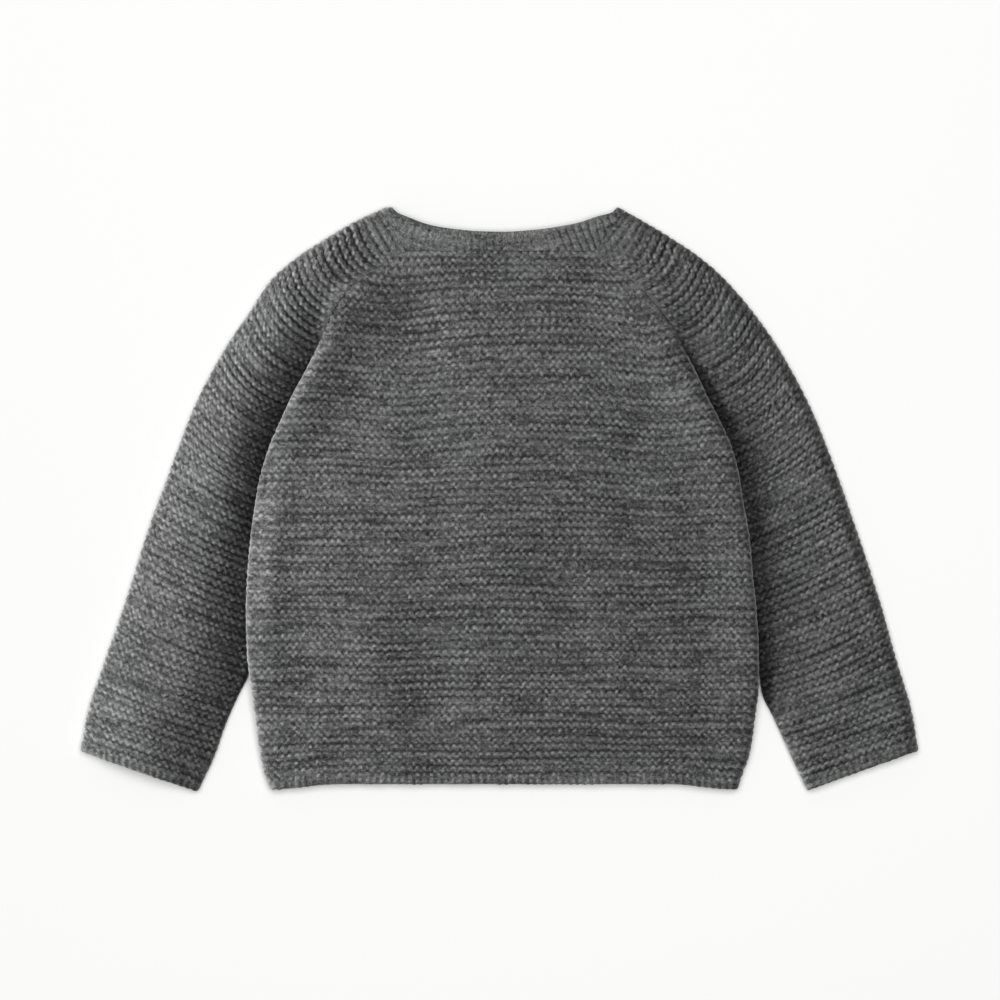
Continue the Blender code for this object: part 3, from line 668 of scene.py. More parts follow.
class Grid:
    """Points on the middle of a cloth, in rows of stitches, with the way out of the cloth at each.

    Column 0 is the middle of the panel. Columns beyond a row's ends stand on the end itself.
    """

    def __init__(self, lines, v, zero, step, closed_from=None):
        """lines: for each row, its points and the ways out of the cloth. zero: where column 0 is."""
        spans = [lengths(points) for points, _ in lines]
        low = np.array([-round(z / step) for z in zero])
        high = np.array([round((s[-1] - z) / step) for s, z in zip(spans, zero)])
        self.low, self.high = low, high
        self.first, self.last = low.min(), high.max()
        columns = np.arange(self.first, self.last + 1)
        shape = (len(lines), len(columns))
        self.points = np.zeros((*shape, 3))
        self.out = np.zeros((*shape, 3))
        self.u = np.zeros(shape)
        self.left = np.zeros(shape)
        self.right = np.zeros(shape)
        for i, (points, out) in enumerate(lines):
            span = spans[i]
            at = zero[i] + columns * step
            at = np.where(columns <= low[i], 0.0, np.where(columns >= high[i], span[-1], at))
            for c in range(3):
                self.points[i, :, c] = np.interp(at, span, points[:, c])
                self.out[i, :, c] = np.interp(at, span, out[:, c])
            self.u[i] = (at - zero[i]) / STITCH
            self.left[i] = at
            self.right[i] = span[-1] - at
        self.out /= np.linalg.norm(self.out, axis=2, keepdims=True)
        self.v = np.broadcast_to(np.asarray(v)[:, None], shape).copy()
        self.closed_from = closed_from

    def numbers(self, start):
        """Each point's vertex number. Points past a row's end, and a ring's two ends, share one."""
        count, wide = self.u.shape
        held = np.clip(np.arange(wide)[None, :] + self.first, self.low[:, None], self.high[:, None])
        sizes = self.high - self.low + 1
        offsets = start + np.concatenate(([0], np.cumsum(sizes)[:-1]))
        ids = offsets[:, None] + held - self.low[:, None]
        if self.closed_from is not None:
            ring = (np.arange(count)[:, None] >= self.closed_from) & (held == self.high[:, None])
            ids = np.where(ring, offsets[:, None], ids)
        return ids

    def corners(self):
        """The grid's quads as row and column pairs."""
        count, wide = self.u.shape
        i, k = np.meshgrid(np.arange(count - 1), np.arange(wide - 1), indexing="ij")
        i, k = i.ravel(), k.ravel()
        return np.stack((i, i, i + 1, i + 1), axis=1), np.stack((k, k + 1, k + 1, k), axis=1)

    def sides(self):
        """The open edges as (row, column) lists in the order round the cloth, and how far along each is."""
        count = len(self.low)
        low, high = self.low - self.first, self.high - self.first
        stop = count - 1 if self.closed_from is None else self.closed_from

        def across(i):
            """The columns of row i, and how far across each is."""
            ks = np.arange(low[i], high[i] + 1)
            at = self.u[i, ks]
            return np.full(len(ks), i), ks, (at - at[0]) / (at[-1] - at[0])

        up = np.arange(0, stop + 1)
        rise = (self.v[up, 0] - self.v[0, 0]) / (self.v[stop, 0] - self.v[0, 0])
        top = across(count - 1)
        return [
            across(0),
            (up, high[up], rise),
            (top[0][::-1], top[1][::-1], 1 - top[2][::-1]),
            (up[::-1], low[up[::-1]], 1 - rise[::-1]),
        ]


def zipped(outer_edge, inner_edge):
    """Triangles between two edges, each a list of (vertex, share along) in the same direction."""
    faces = []
    a, b = 0, 0
    (outer, outer_at), (inner, inner_at) = outer_edge, inner_edge
    while a < len(outer) - 1 or b < len(inner) - 1:
        ahead = outer_at[a + 1] if a < len(outer) - 1 else 2.0
        behind = inner_at[b + 1] if b < len(inner) - 1 else 2.0
        if ahead <= behind:
            faces.append((outer[a + 1], outer[a], inner[b]))
            a += 1
        else:
            faces.append((inner[b], inner[b + 1], outer[a]))
            b += 1
    return faces


def sharpened(mesh, pairs):
    """Marks the edges between pairs of vertices as sharp."""
    ends = np.zeros(len(mesh.edges) * 2, int)
    mesh.edges.foreach_get("vertices", ends)
    ends = np.sort(ends.reshape(-1, 2), axis=1)
    pairs = np.sort(np.array(pairs), axis=1)
    wide = len(mesh.vertices)
    sharp = np.isin(ends[:, 0] * wide + ends[:, 1], pairs[:, 0] * wide + pairs[:, 1])
    mesh.attributes.new("sharp_edge", "BOOLEAN", "EDGE").data.foreach_set("value", sharp)


def knitted_mesh(name, points, faces, uvs, relief, stitched, level, material):
    """A piece of knitted cloth from points in millimetres. level: edges that meet the next piece level."""
    mesh = bpy.data.meshes.new(name)
    mesh.from_pydata((points * MM).tolist(), [], faces)
    layer = mesh.uv_layers.new(name="stitches")
    layer.uv.foreach_set("vector", uvs.astype(np.float32).ravel())
    for title, values in (("relief", relief), ("stitched", stitched)):
        mesh.attributes.new(title, "FLOAT", "POINT").data.foreach_set("value", values.astype(np.float32))
    if level:
        sharpened(mesh, level)
    mesh.materials.append(material)
    mesh.shade_smooth()
    mesh.update()
    piece = bpy.data.objects.new(name, mesh)
    bpy.context.scene.collection.objects.link(piece)
    return piece


def wall(name, outer, inner, outer_points, inner_points, relief, stitched, falls, material):
    """A closed cloth: the fine outer face, the plain inner face, and the rim that joins them.

    The rim meets the face sharply where the face is hardly rounded off, so that a seam closes without a line.
    """
    outer_ids = outer.numbers(0)
    inner_ids = inner.numbers(outer_ids.max() + 1)
    count = inner_ids.max() + 1
    points = np.zeros((count, 3))
    height = np.full(count, INNER_RELIEF)
    knitted = np.zeros(count)
    where = np.zeros((count, 2))
    # A row's end is written last, so that it has its own place and not a neighbour's.
    for grid, ids, spots in ((outer, outer_ids, outer_points), (inner, inner_ids, inner_points)):
        points[ids] = spots
        where[ids] = np.stack((grid.u, grid.v), axis=2)
    height[outer_ids] = relief
    knitted[outer_ids] = stitched
    faces, uvs = [], []
    for grid, ids, flip in ((outer, outer_ids, False), (inner, inner_ids, True)):
        i, k = grid.corners()
        if flip:
            i, k = i[:, ::-1], k[:, ::-1]
        quads = ids[i, k]
        spots = np.stack((grid.u[i, k], grid.v[i, k]), axis=2)
        same = quads == np.roll(quads, -1, axis=1)
        whole = ~same.any(axis=1)
        faces += quads[whole].tolist()
        uvs.append(spots[whole].reshape(-1, 2))
        for q, s, d in zip(quads[~whole], spots[~whole], same[~whole]):
            keep = ~d
            corner = q[keep]
            if keep.sum() == 3 and len(set(corner.tolist())) == 3:
                faces.append(corner.tolist())
                uvs.append(s[keep])
    level = []
    falls = [falls[2], falls[1], falls[3], falls[0]]
    for (i, k, at), (i2, k2, at2), fall in zip(outer.sides(), inner.sides(), falls):
        line = outer_ids[i, k]
        fall = np.broadcast_to(fall, outer_ids.shape[0])[i]
        level += [pair for pair, drop in zip(zip(line[:-1], line[1:]), fall) if drop < LEVEL_SEAM]
        rim = zipped((line, at), (inner_ids[i2, k2], at2))
        rim = [face for face in rim if len(set(face)) == 3]
        faces += [[int(n) for n in face] for face in rim]
        uvs.append(where[np.array(rim)].reshape(-1, 2))
    used = np.zeros(count, bool)
    used[np.fromiter((n for face in faces for n in face), int)] = True
    new_number = np.cumsum(used) - 1
    faces = [[int(new_number[n]) for n in face] for face in faces]
    level = [(new_number[a], new_number[b]) for a, b in level if used[a] and used[b]]
    points, height, knitted = points[used], height[used], knitted[used]
    piece = knitted_mesh(name, points, faces, np.concatenate(uvs), height, knitted, level, material)
    corners = points[np.array([f[:3] for f in faces])]
    facing = np.cross(corners[:, 1] - corners[:, 0], corners[:, 2] - corners[:, 0])
    if np.sum(facing * (corners[:, 0] - points.mean(0))) < 0:
        piece.data.flip_normals()
        piece.data.update()
    return piece


def garter(u, v, seed):
    """The height of garter stitch: about 1 on the bumps and 0 in the valleys.

    A ridge is a double row of bumps, the upper ones at whole stitches and the lower ones half a stitch aside.
    Given with the height are the places in stitches and ridges, shifted as the uneven bumps are.
    """
    # Stitches slip sideways and rows up and down, each with its neighbours.
    slip = 0.17 * drift(u * 1.3, v * 2.3, seed) + 0.16 * drift(u / 5.0, v * 2.0, seed + 1)
    p = v + 0.07 * drift(u * 1.7, v * 1.3, seed + 2) + 0.05 * drift(u / 4.0, v * 1.9, seed + 9)
    across, up = np.cos(2 * np.pi * (u + slip)), np.sin(2 * np.pi * p)
    lean = LEAN * np.sin(2 * np.pi * (u + slip)) * np.cos(2 * np.pi * p)
    own = each((u + slip) * 2, np.floor(p * 2), seed + 3)
    streak = drift(u / 8.0, np.floor(p) + 0.5, seed + 4)
    crest = drift(u / 6.0, np.round(p) + 0.5, seed + 5)
    ridge = np.cos(2 * np.pi * p)
    valley = np.clip(-ridge, 0.0, 1.0)
    bumps = (across * (up + UPPER * np.abs(up)) + lean) * (BUMP + BUMP_OWN * own)
    height = ROW_LEVEL + ROW_RIDGE * ridge - ROW_SPLIT * np.cos(4 * np.pi * p) + bumps
    height = np.clip(height - VALLEY_OWN * valley * streak + RIDGE_OWN * crest * (1 - valley), *ROW_LIMITS)
    return height, u + slip, p


def edging(u, seed):
    """The height of the cast-on edge: short upright stitches side by side."""
    own = each(u, u * 0, seed)
    return SEAM_LEVEL + EDGING_BUMP * np.cos(2 * np.pi * u) + EDGING_OWN * own


def swayed(grid, fade):
    """The grid's points with each row swaying up and down at its stitches."""
    run = np.gradient(grid.points, axis=0) / np.gradient(grid.v, axis=0)[:, :, None]
    sway = SWAY * np.cos(2 * np.pi * grid.u) + ROW_DRIFT * drift(grid.u / 9, grid.v / 5, 72)
    return grid.points + run * (sway * fade)[:, :, None]


def rounded(away, radius, fall):
    """How much lower the cloth's face is near a cut edge."""
    t = np.clip(1 - away / radius, 0.0, 1.0)
    return fall * (1 - np.sqrt(1 - t * t * 0.98))


def folds(table, x, y):
    """The rise of the soft folds at x and y."""
    rise = np.zeros_like(x)
    for fold in table[1:]:
        at = dict(zip(table[0], fold))
        turn = math.radians(at["turn"])
        dx, dy = x - at["x"], y - at["y"]
        along = dx * math.cos(turn) + dy * math.sin(turn)
        aside = -dx * math.sin(turn) + dy * math.cos(turn)
        rise += at["rise"] * np.exp(-((along / at["long"]) ** 2) - (aside / at["wide"]) ** 2)
    return rise


def by_row(value):
    """A value for each row, or one for all of them, ready to meet a grid."""
    return np.reshape(value, (-1, 1))


def knit_panel(
    name, lines, v, zero, material, seed, closed_from=None, ends=(), fades=(3.0, 3.0), start_fade=0.1,
    falls=(0.45, 0.45, 0.5, 0.5), lift=None, drape=None, depth=DEPTH,
):
    """A panel of garter stitch.

    ends: which end rows have the cast-on edge. fades: widths over which the stitches die away at a row's two
    ends. start_fade: the same at the first row. falls: how much the face is rounded off at a row's two ends
    and at the first and last rows. A fade or a fall may be a list by rows. lift: a rise for points, by grid.
    drape: how far up the panel the rows are pulled.
    """
    outer = Grid(lines, v, zero, STITCH / ACROSS, closed_from)
    rows = sorted(set(range(0, len(lines), ALONG)) | {len(lines) - 1} | ({closed_from} - {None}))
    inner_closed = None if closed_from is None else rows.index(closed_from)
    inner = Grid(*([values[r] for r in rows] for values in (lines, v, zero)), STITCH, inner_closed)
    points = {}
    for key, grid in (("outer", outer), ("inner", inner)):
        if drape is not None:
            grid.points[:, :, 1] += drape(grid)
        if lift is not None:
            grid.points[:, :, 2] += lift(grid)
        points[key] = grid.points
    # The stitches die away unevenly at the seams.
    wander = 1 + 0.4 * drift(outer.u / 3, outer.v / 3, seed + 8)
    fade = np.clip((outer.v - outer.v[0]) * RIDGE / start_fade + 0.1, 0, 1)
    for away, width in zip((outer.left, outer.right), fades):
        fade = fade * np.clip(away / by_row(width) / wander, 0, 1)
    height, slipped_u, slipped_v = garter(outer.u, outer.v, seed)
    level = SEAM_LEVEL + 0.16 * drift(outer.u * 1.3, outer.v * 1.6, seed + 6)
    level = level + 0.10 * drift(outer.u * 3, outer.v * 4, seed + 7)
    share = DEAD + (1 - DEAD) * smooth(fade)
    height = level + (height - level) * share
    from_start, from_end = (np.abs(outer.v - outer.v[end]) * RIDGE for end in (0, -1))
    sway_fade = smooth(fade) * np.clip(np.minimum(from_start, from_end) / SWAY_FADE, 0, 1)
    turned = smooth((TURNED_FROM - np.abs(outer.out[:, :, 2])) / TURNED_RUN)
    height = height + (TURNED_LEVEL - height) * TURNED_SHARE * turned
    stitched = share * (1 - TURNED_PLAIN * turned)
    for end in ends:
        away = from_start if end == 0 else from_end
        plain = 1 - rising(away, EDGING - EDGING_IN, EDGING_RUN)
        height = height + (edging(outer.u, seed + 9) - height) * plain
        stitched = stitched * (1 - plain)
        sway_fade = sway_fade * (1 - plain)
        inward = unit_rows(outer.points[end + 1 if end == 0 else end - 1] - outer.points[end])
        own = each(outer.u, outer.u * 0, seed + 10)
        scallop = SCALLOP * (0.5 + 0.5 * np.cos(2 * np.pi * outer.u) + 0.5 * own)
        outer.points = outer.points + inward * (scallop * np.clip(1 - away / EDGING, 0, 1))[:, :, None]
    points["outer"] = swayed(outer, sway_fade)
    face = HALF + PROUD - depth * (1 - height)
    for away, fall in zip((outer.left, outer.right, from_start, from_end), falls):
        face = face - rounded(away, EDGE_ROUND, 1.0) * by_row(fall)
    outside = points["outer"] + outer.out * face[:, :, None]
    inside = points["inner"] - inner.out * (HALF - INNER_IN)
    for spots in (outside, inside):
        spots[:, :, 2] = np.maximum(spots[:, :, 2], 0.0)
    outer.u, outer.v = slipped_u, slipped_v
    return wall(name, outer, inner, outside, inside, height, stitched, falls, material)


def upright(x, y, z, facing):
    """A section's points and ways out of the cloth, in its upright plane. facing turns them over."""
    points = np.stack((x, y, z), axis=1)
    run = np.gradient(points[:, [0, 2]], axis=0)
    out = np.stack((-run[:, 1], np.zeros(len(run)), run[:, 0]), axis=1) * facing
    return points, out / np.linalg.norm(out, axis=1, keepdims=True)


def reached(line, start, end):
    """A line of points and ways out, carried on past its two ends."""
    points, out = line
    first = points[0] + unit(points[0] - points[1]) * max(start, 1e-3)
    last = points[-1] + unit(points[-1] - points[-2]) * max(end, 1e-3)
    return np.vstack((first, points, last)), np.vstack((out[:1], out, out[-1:]))


def seam_reach(y, side):
    """How far the knitting stretches past its solid's edge to close the upper raglan."""
    return SEAM_REACH * max(-edge(y, side)["under"], 0.0)


def raglan_slant(y, side):
    """The sine of the raglan's slope at y."""
    run = float(read(BODY, side, y + 1.0) - read(BODY, side, y - 1.0))
    return 2.0 / math.hypot(2.0, run)


def raglan_fall(y):
    """How much the cloth is rounded off at the raglan: hardly where its two sides meet level."""
    return ROUND_HIGH + (ROUND_LOW - ROUND_HIGH) * float(smooth((LEVEL_FROM - y) / LEVEL_RUN))


def raglan_rise(y):
    """The share of its full height that the cloth beside the raglan has at y."""
    return rising(y, *RAGLAN_UP) * (1 - rising(y, *RAGLAN_DOWN))


def raglan_fade(y):
    """The width over which the stitches die away at the raglan."""
    return FADE + FADE_MORE * math.exp(-(((y - FADE_Y) / FADE_REACH) ** 2))


def ridge_rows(low, high):
    """Even rows between two places in millimetres, ALONG to a ridge, and their numbers in ridges."""
    count = round((high - low) / RIDGE * ALONG)
    at = np.linspace(low, high, count + 1)
    return at, np.arange(count + 1) / ALONG


def slope_down(x, start, end):
    """0 before start and 1 past end, an even slope between them with soft corners."""
    t = (x - start) / (end - start)
    return 0.5 * (np.sqrt(t * t + ROOF_SOFT) - np.sqrt((1 - t) ** 2 + ROOF_SOFT)) + 0.5


def crease(x, away):
    """The depth of the crease under the neckband, away from its seam."""
    return CREASE_DEEP * np.exp(-(((x - CREASE_X) / CREASE_WIDE) ** 2) - (away / CREASE_RUN) ** 2)


def from_sides(x, y):
    """How far points are in from the body's nearer side."""
    return np.minimum(x - read(BODY, "left", y), read(BODY, "right", y) - x)


def raglan_high(y, side):
    """0 to 1 up the raglan to where the sleeve stands up as the back does."""
    return rising(y, RAGLAN_HIGH[side], RAGLAN_SOON[side])


def make_back(material):
    """The back, from the hem to the neck seam."""
    at, v = ridge_rows(HEM_BASE, NECK_SEAM - GAP + SEAM_CLOSE)
    lines, zero = [], []
    for y in at:
        x, ys, z = back_line(y)
        line = reached(upright(x, ys, z, 1.0), seam_reach(y, "left"), seam_reach(y, "right"))
        lines.append(line)
        zero.append(float(np.interp(CENTRE, line[0][25:-25, 0], lengths(line[0])[25:-25])))

    def lift(grid):
        """How the cloth swells over its plain solid, with its soft folds."""
        x, y = grid.points[:, :, 0], grid.points[:, :, 1]
        inside = rising(np.minimum(grid.left, grid.right), *FOLDS_IN)
        rise = folds(BACK_FOLDS, x, y) * inside * smooth((NECK_SEAM - y) / NECK_HELD)
        above_hem = rising(y, HEM_BASE + HEM_FLAT, HEM_RUN)
        share = above_hem * (1 - rising(y, *SWELL_TOP))
        away = from_sides(x, y)
        rise = rise + share * (RIM_SWELL * rising(away, *RIM_IN) + MIDDLE_SWELL * rising(away, *MIDDLE_IN))
        rise = rise + share * DOME * rising(away, *DOME_IN)
        level = 1 - slope_down(x, ROOF_RIDGE, ROOF_EAVES)
        roof = bell(y - ROOF_Y, ROOF_REACH) * above_hem * rising(x, read(BODY, "left", y), ROOF_RUN)
        rise = rise + ROOF * roof * level
        for side in SIDES:
            away = np.maximum((read(BODY, side, y) - x) * outward(side), 0.0)
            step = RAGLAN_STEP + (1 - RAGLAN_STEP) * raglan_high(y, side)
            beside = bell(away, RAGLAN_REACH) * (step + (1 - step) * rising(away, *RAGLAN_CLIMB))
            rise = rise + RAGLAN_RISE[side] * raglan_rise(y) * beside
        return rise - crease(x, NECK_SEAM - y)

    def drape(grid):
        """The rows wave a little, most near the top, and keep their ends."""
        x, y = grid.points[:, :, 0], grid.points[:, :, 1]
        held = rising(from_sides(x, y), *WAVE_SIDES) * rising(NECK_SEAM - y, *WAVE_NECK)
        held = held * rising(y - HEM_BASE, *WAVE_HEM)
        high = WAVE_LOW + (1 - WAVE_LOW) * rising(y, *WAVE_UP)
        pull = np.zeros_like(x)
        for middle, reach, up in ROW_WAVES[1:]:
            pull = pull + up * bell(x - middle, reach)
        return held * (pull * high + ROW_STRAY * drift(x / STRAY_WIDE, y / STRAY_HIGH, 91))

    fades = np.array([raglan_fade(y) for y in at])
    falls = np.array([raglan_fall(y) for y in at])
    return knit_panel(
        "back_knit", lines, v, zero, material, 11,
        ends=(0,), fades=(fades, fades), falls=(falls, falls, 0.25, 0.1), lift=lift, drape=drape,
    )


def make_front(side, material):
    """A front, from its side seam and raglan to its edge in the lap."""
    at, v = ridge_rows(HEM_BASE, FRONT_APEX - FRONT_BELOW)
    out = outward(side)
    lines, zero = [], []
    for y in at:
        lines.append(upright(*front_line(side, y), out))
        x, span = lines[-1][0][:, 0], lengths(lines[-1][0])
        edge_x = CENTRE - out * LAP
        zero.append(span[-1] + abs(x[-1] - edge_x))
    seed = 23 + int(out)
    return knit_panel(f"front_{side}_knit", lines, v, zero, material, seed, ends=(0,), fades=(3.0, 3.5))


def make_sleeve(side, material):
    """A sleeve, from the neck to the cuff. Its rows are open down the raglan and closed rings below it."""
    shares, rails, outer_fold, total = sleeve_rails(side)
    at, v = ridge_rows(0.0, total)
    at = at / total
    under = float(np.interp(-UNDERARM, -rails[:, 5], shares))
    closed_from = int(np.argmin(np.abs(at - under)))
    at[closed_from] = under
    lines, zero, falls, fades, raglan = [], [], [], [], []
    for i, share in enumerate(at):
        row = [np.interp(share, shares, rails[:, c]) for c in range(5)]
        tip = np.array([np.interp(share, shares, outer_fold[:, c]) for c in (0, 1)])
        closed = i >= closed_from
        upper, lower = np.array(row[:2]), np.array(row[2:4])
        line, middle, inward = sleeve_line(upper, lower, row[4], closed, tip, share, side)
        run = np.gradient(line, axis=0)
        outwards = -(run[:, :2] @ inward)
        out = np.column_stack((run[:, 2:3] * inward[None, :], outwards))
        if not closed:
            line, out = reached((line, out), seam_reach(row[1], side) * raglan_slant(row[1], side), 0.0)
            middle += 1.0
        raglan.append(FAR_BELOW if closed else row[1])
        falls.append(0.0 if closed else raglan_fall(row[1]))
        fades.append(1.0 if closed else raglan_fade(row[1]))
        lines.append((line, out))
        span = lengths(line)
        zero.append(float(np.interp(middle, np.arange(len(span)), span)))

    def lift(grid):
        """The sleeve's soft folds, and how it stands up beside the raglan and the body."""
        along, aside = grid.v * RIDGE, -grid.u * STITCH
        rise = np.zeros_like(along)
        for fold in SLEEVE_FOLDS[side][1:]:
            spot = dict(zip(SLEEVE_FOLDS[side][0], fold))
            dx, dy = (along - spot["along"]) / spot["long"], (aside - spot["in"]) / spot["wide"]
            rise += spot["rise"] * np.exp(-dx * dx - dy * dy)
        rise = rise * rising(aside, *FOLDS_CLEAR) * rising(grid.left, *FOLDS_CLEAR)
        rows = np.round(grid.v[:, 0] * ALONG).astype(int).clip(0, len(at) - 1)
        y = np.broadcast_to(np.array(raglan)[rows, None], grid.u.shape)
        above = rising(aside, *FOLD_HELD)
        high = raglan_rise(y) * raglan_high(y, side)
        rise = rise + above * RAGLAN_RISE[side] * high * bell(grid.left, SLEEVE_REACH[side])
        tuck = rising(grid.left, *TUCK_CLIMB) * bell(grid.left, TUCK_REACH) * (1 - rising(y, *TUCK_TOP))
        return rise + above * SLEEVE_TUCK[side] * tuck

    seed = 31 if side == "left" else 47
    neck, second = lines[0][0], lines[1][0]
    shares = np.linspace(0, 1, len(neck)), np.linspace(0, 1, len(second))
    step = neck - np.array([np.interp(*shares, second[:, c]) for c in range(3)]).T
    step[:, 2] = 0.0
    neck += SEAM_CLOSE * step / np.linalg.norm(step, axis=1, keepdims=True)
    falls, fades = np.array(falls), np.array(fades)
    return knit_panel(
        f"sleeve_{side}_knit", lines, v, zero, material, seed, closed_from, ends=(-1,), fades=(fades, fades),
        start_fade=NECK_FADE, falls=(falls, falls, 0.05, 0.25), lift=lift, depth=SLEEVE_DEPTH[side],
    )


# ---------------------------------------------------------------- the neckband


def band_side(side):
    """The neckband's two edges on one side, from the front's edge round the shoulder towards the back."""
    out = outward(side)
    rails, outer_fold = sleeve_rails(side)[1:3]
    upper, lower, outer = rails[0, :2], rails[0, 2:4], outer_fold[0]
    reach = front_corner(side) - CENTRE
    rows = []
    for share, seam_y, neck_share, neck_y in BAND_FRONT[1:]:
        neck_x, seam_x = CENTRE + reach * neck_share, CENTRE + reach * share
        if not share:
            neck_x = seam_x = CENTRE - out * LAP
        rows.append(((neck_x, neck_y, HALF), (seam_x - out * GAP * share, seam_y + GAP, HALF)))
    inward = unit(upper - outer)
    beside = np.array((-inward[1], inward[0]))
    beside *= SHOULDER_GAP * (1.0 if beside[0] * out < 0 else -1.0)
    fold = FOLD[0] - HALF
    turns = np.linspace(180.0, 0.0, BAND_TURNS)
    neck_fold = fold_arc(np.array(PEAK[side]), -np.array(PEAK_FACING[side]), fold, HALF + fold, turns)
    seam_fold = fold_arc(outer + beside, inward, fold, HALF + fold, turns)
    last_neck, first = np.array(rows[-1][0][:2]), neck_fold[0][:2]
    corner, hinge = lower + beside, seam_fold[0][:2]
    for share in SHOULDER_SHARES:
        neck, seam = last_neck + (first - last_neck) * share, corner + (hinge - corner) * share
        rows.append(((*neck, HALF), (*seam, HALF)))
    rows += list(zip(neck_fold, seam_fold))
    top = FLAT - HALF
    start = upper[0] - out * GAP
    for x, y, at in BAND_BACK[side][1:]:
        seam = hinge + (upper + beside - hinge) * at
        if at > 1:
            seam = (start + (BAND_CENTRE[0] - start) * (at - 1), NECK_SEAM + GAP)
        rows.append(((x, y, top), (*seam, top)))
    return rows


def band_edges():
    """The neckband's neck edge and seam edge, from the left front round the back to the right front."""
    top = FLAT - HALF
    pairs = band_side("left") + [((*BAND_CENTRE, top), (BAND_CENTRE[0], NECK_SEAM + GAP, top))]
    for pair in band_side("right")[::-1]:
        in_front = pair[0][2] < FLAT / 2
        pairs.append([(x, y, z + (lap_height(x, "right") if in_front else 0.0)) for x, y, z in pair])
    return np.array([[tuple(neck), tuple(seam)] for neck, seam in pairs], float)


def make_neckband(material):
    """The neckband: ribs side by side all round the neck, on a closed wall."""
    edges = band_edges()
    keys = lengths(edges.mean(axis=1))
    ribs = round(keys[-1] / RIB)
    at = np.linspace(0.0, keys[-1], ribs * RIB_FINE + 1)
    neck, seam = (np.stack([through(keys, edges[:, e, c], at) for c in range(3)], axis=1) for e in (0, 1))
    down = seam - neck
    away = np.linalg.norm(down, axis=1, keepdims=True)
    around = rising(seam[:, 2:], HALF + 1.0, 3.0)
    seam = seam + down / away * SEAM_CLOSE * around

    share = np.linspace(0.0, 1.0, BAND_WIDE)
    middle = neck[:, None, :] * (1 - share)[None, :, None] + seam[:, None, :] * share[None, :, None]
    down = np.gradient(middle, axis=1)
    along = np.gradient(middle, axis=0)
    out = np.cross(down, along)
    out /= np.linalg.norm(out, axis=2, keepdims=True)
    out *= np.sign(out[len(at) // 2, BAND_WIDE // 2, 2])
    u = np.broadcast_to((at / keys[-1] * ribs)[:, None], middle.shape[:2])
    t = np.broadcast_to(share[None, :], u.shape)
    f = u - np.round(u)
    width = np.linalg.norm(neck - seam, axis=1)[:, None]
    clear = RIB_FAINT + RIB_MORE * rising(middle[:, :, 0], *RIB_CLEAR) + RIB_OWN * drift(u / 3.0, t * 2.0, 95)
    rib = 1 - clear * (1 - np.sqrt(np.clip(1 - (2 * np.abs(f)) ** 2 * 0.92, 0, 1)))
    vee = np.cos(2 * np.pi * (t * width / BAND_VEE - 1.2 * np.abs(f)))
    height = RIB_LEVEL * rib + RIB_VEE * vee * rib + RIB_CHANCE * each(u * 2, np.round(t * 5), 91)
    height = np.clip(height + 0.10 * drift(u * 3, t * 5, 92), 0.0, 1.1)
    bound = 1 - smooth(t * width / BAND_BOUND)
    height = height * (1 - bound) + (0.8 + 0.25 * np.cos(4 * np.pi * u)) * bound
    face = HALF + BAND_PROUD - RIB_DEPTH * (1 - height) + BAND_BELLY * np.sin(np.pi * t)
    for away, (wide, fall) in zip((t, 1 - t), BAND_ROUNDS):
        face = face - rounded(away * width, wide, fall)
    face = face - crease(middle[:, :, 0], (1 - t) * width) * (middle[:, :, 1] > FRONT_APEX)
    outer = middle + out * face[:, :, None]
    rows = sorted(set(range(0, len(at), RIB_FINE // 2)) | {len(at) - 1})
    inner = (middle - out * (HALF - INNER_IN))[np.ix_(rows, BAND_INNER)]
    where = np.stack((u, t * width / RIDGE), axis=2)
    return band_wall("neckband_knit", outer, inner, rows, BAND_INNER, height, where, material)


def band_wall(name, outer, inner, pick_i, pick_k, height, where, material):
    """The neckband's closed wall on two plain grids. The inner one has the picked rows and columns."""
    for spots in (outer, inner):
        spots[:, :, 2] = np.maximum(spots[:, :, 2], 0.0)
    rows, wide = outer.shape[:2]
    ids = np.arange(rows * wide).reshape(rows, wide)
    low = rows * wide + np.arange(len(pick_i) * len(pick_k)).reshape(len(pick_i), len(pick_k))
    points = np.concatenate((outer.reshape(-1, 3), inner.reshape(-1, 3)))
    relief = np.concatenate((height.ravel(), np.full(low.size, INNER_RELIEF)))
    where = np.concatenate((where.reshape(-1, 2), where[np.ix_(pick_i, pick_k)].reshape(-1, 2)))
    faces = []
    for grid, flip in ((ids, False), (low, True)):
        quads = np.stack((grid[:-1, :-1], grid[:-1, 1:], grid[1:, 1:], grid[1:, :-1]), axis=2).reshape(-1, 4)
        faces += (quads[:, ::-1] if flip else quads).tolist()
    at_i, at_k = np.array(pick_i) / (rows - 1), np.array(pick_k) / (wide - 1)
    all_i, all_k = np.arange(rows) / (rows - 1), np.arange(wide) / (wide - 1)
    faces += zipped((ids[0], all_k), (low[0], at_k))
    faces += zipped((ids[:, -1], all_i), (low[:, -1], at_i))
    faces += zipped((ids[-1, ::-1], 1 - all_k[::-1]), (low[-1, ::-1], 1 - at_k[::-1]))
    faces += zipped((ids[::-1, 0], 1 - all_i[::-1]), (low[::-1, 0], 1 - at_i[::-1]))
    faces = [[int(n) for n in face] for face in faces]
    uvs = np.concatenate([where[face] for face in faces])
    level = list(zip(ids[:-1, -1], ids[1:, -1]))
    return knitted_mesh(name, points, faces, uvs, relief, np.zeros(len(points)), level, material)


# ---------------------------------------------------------------- materials


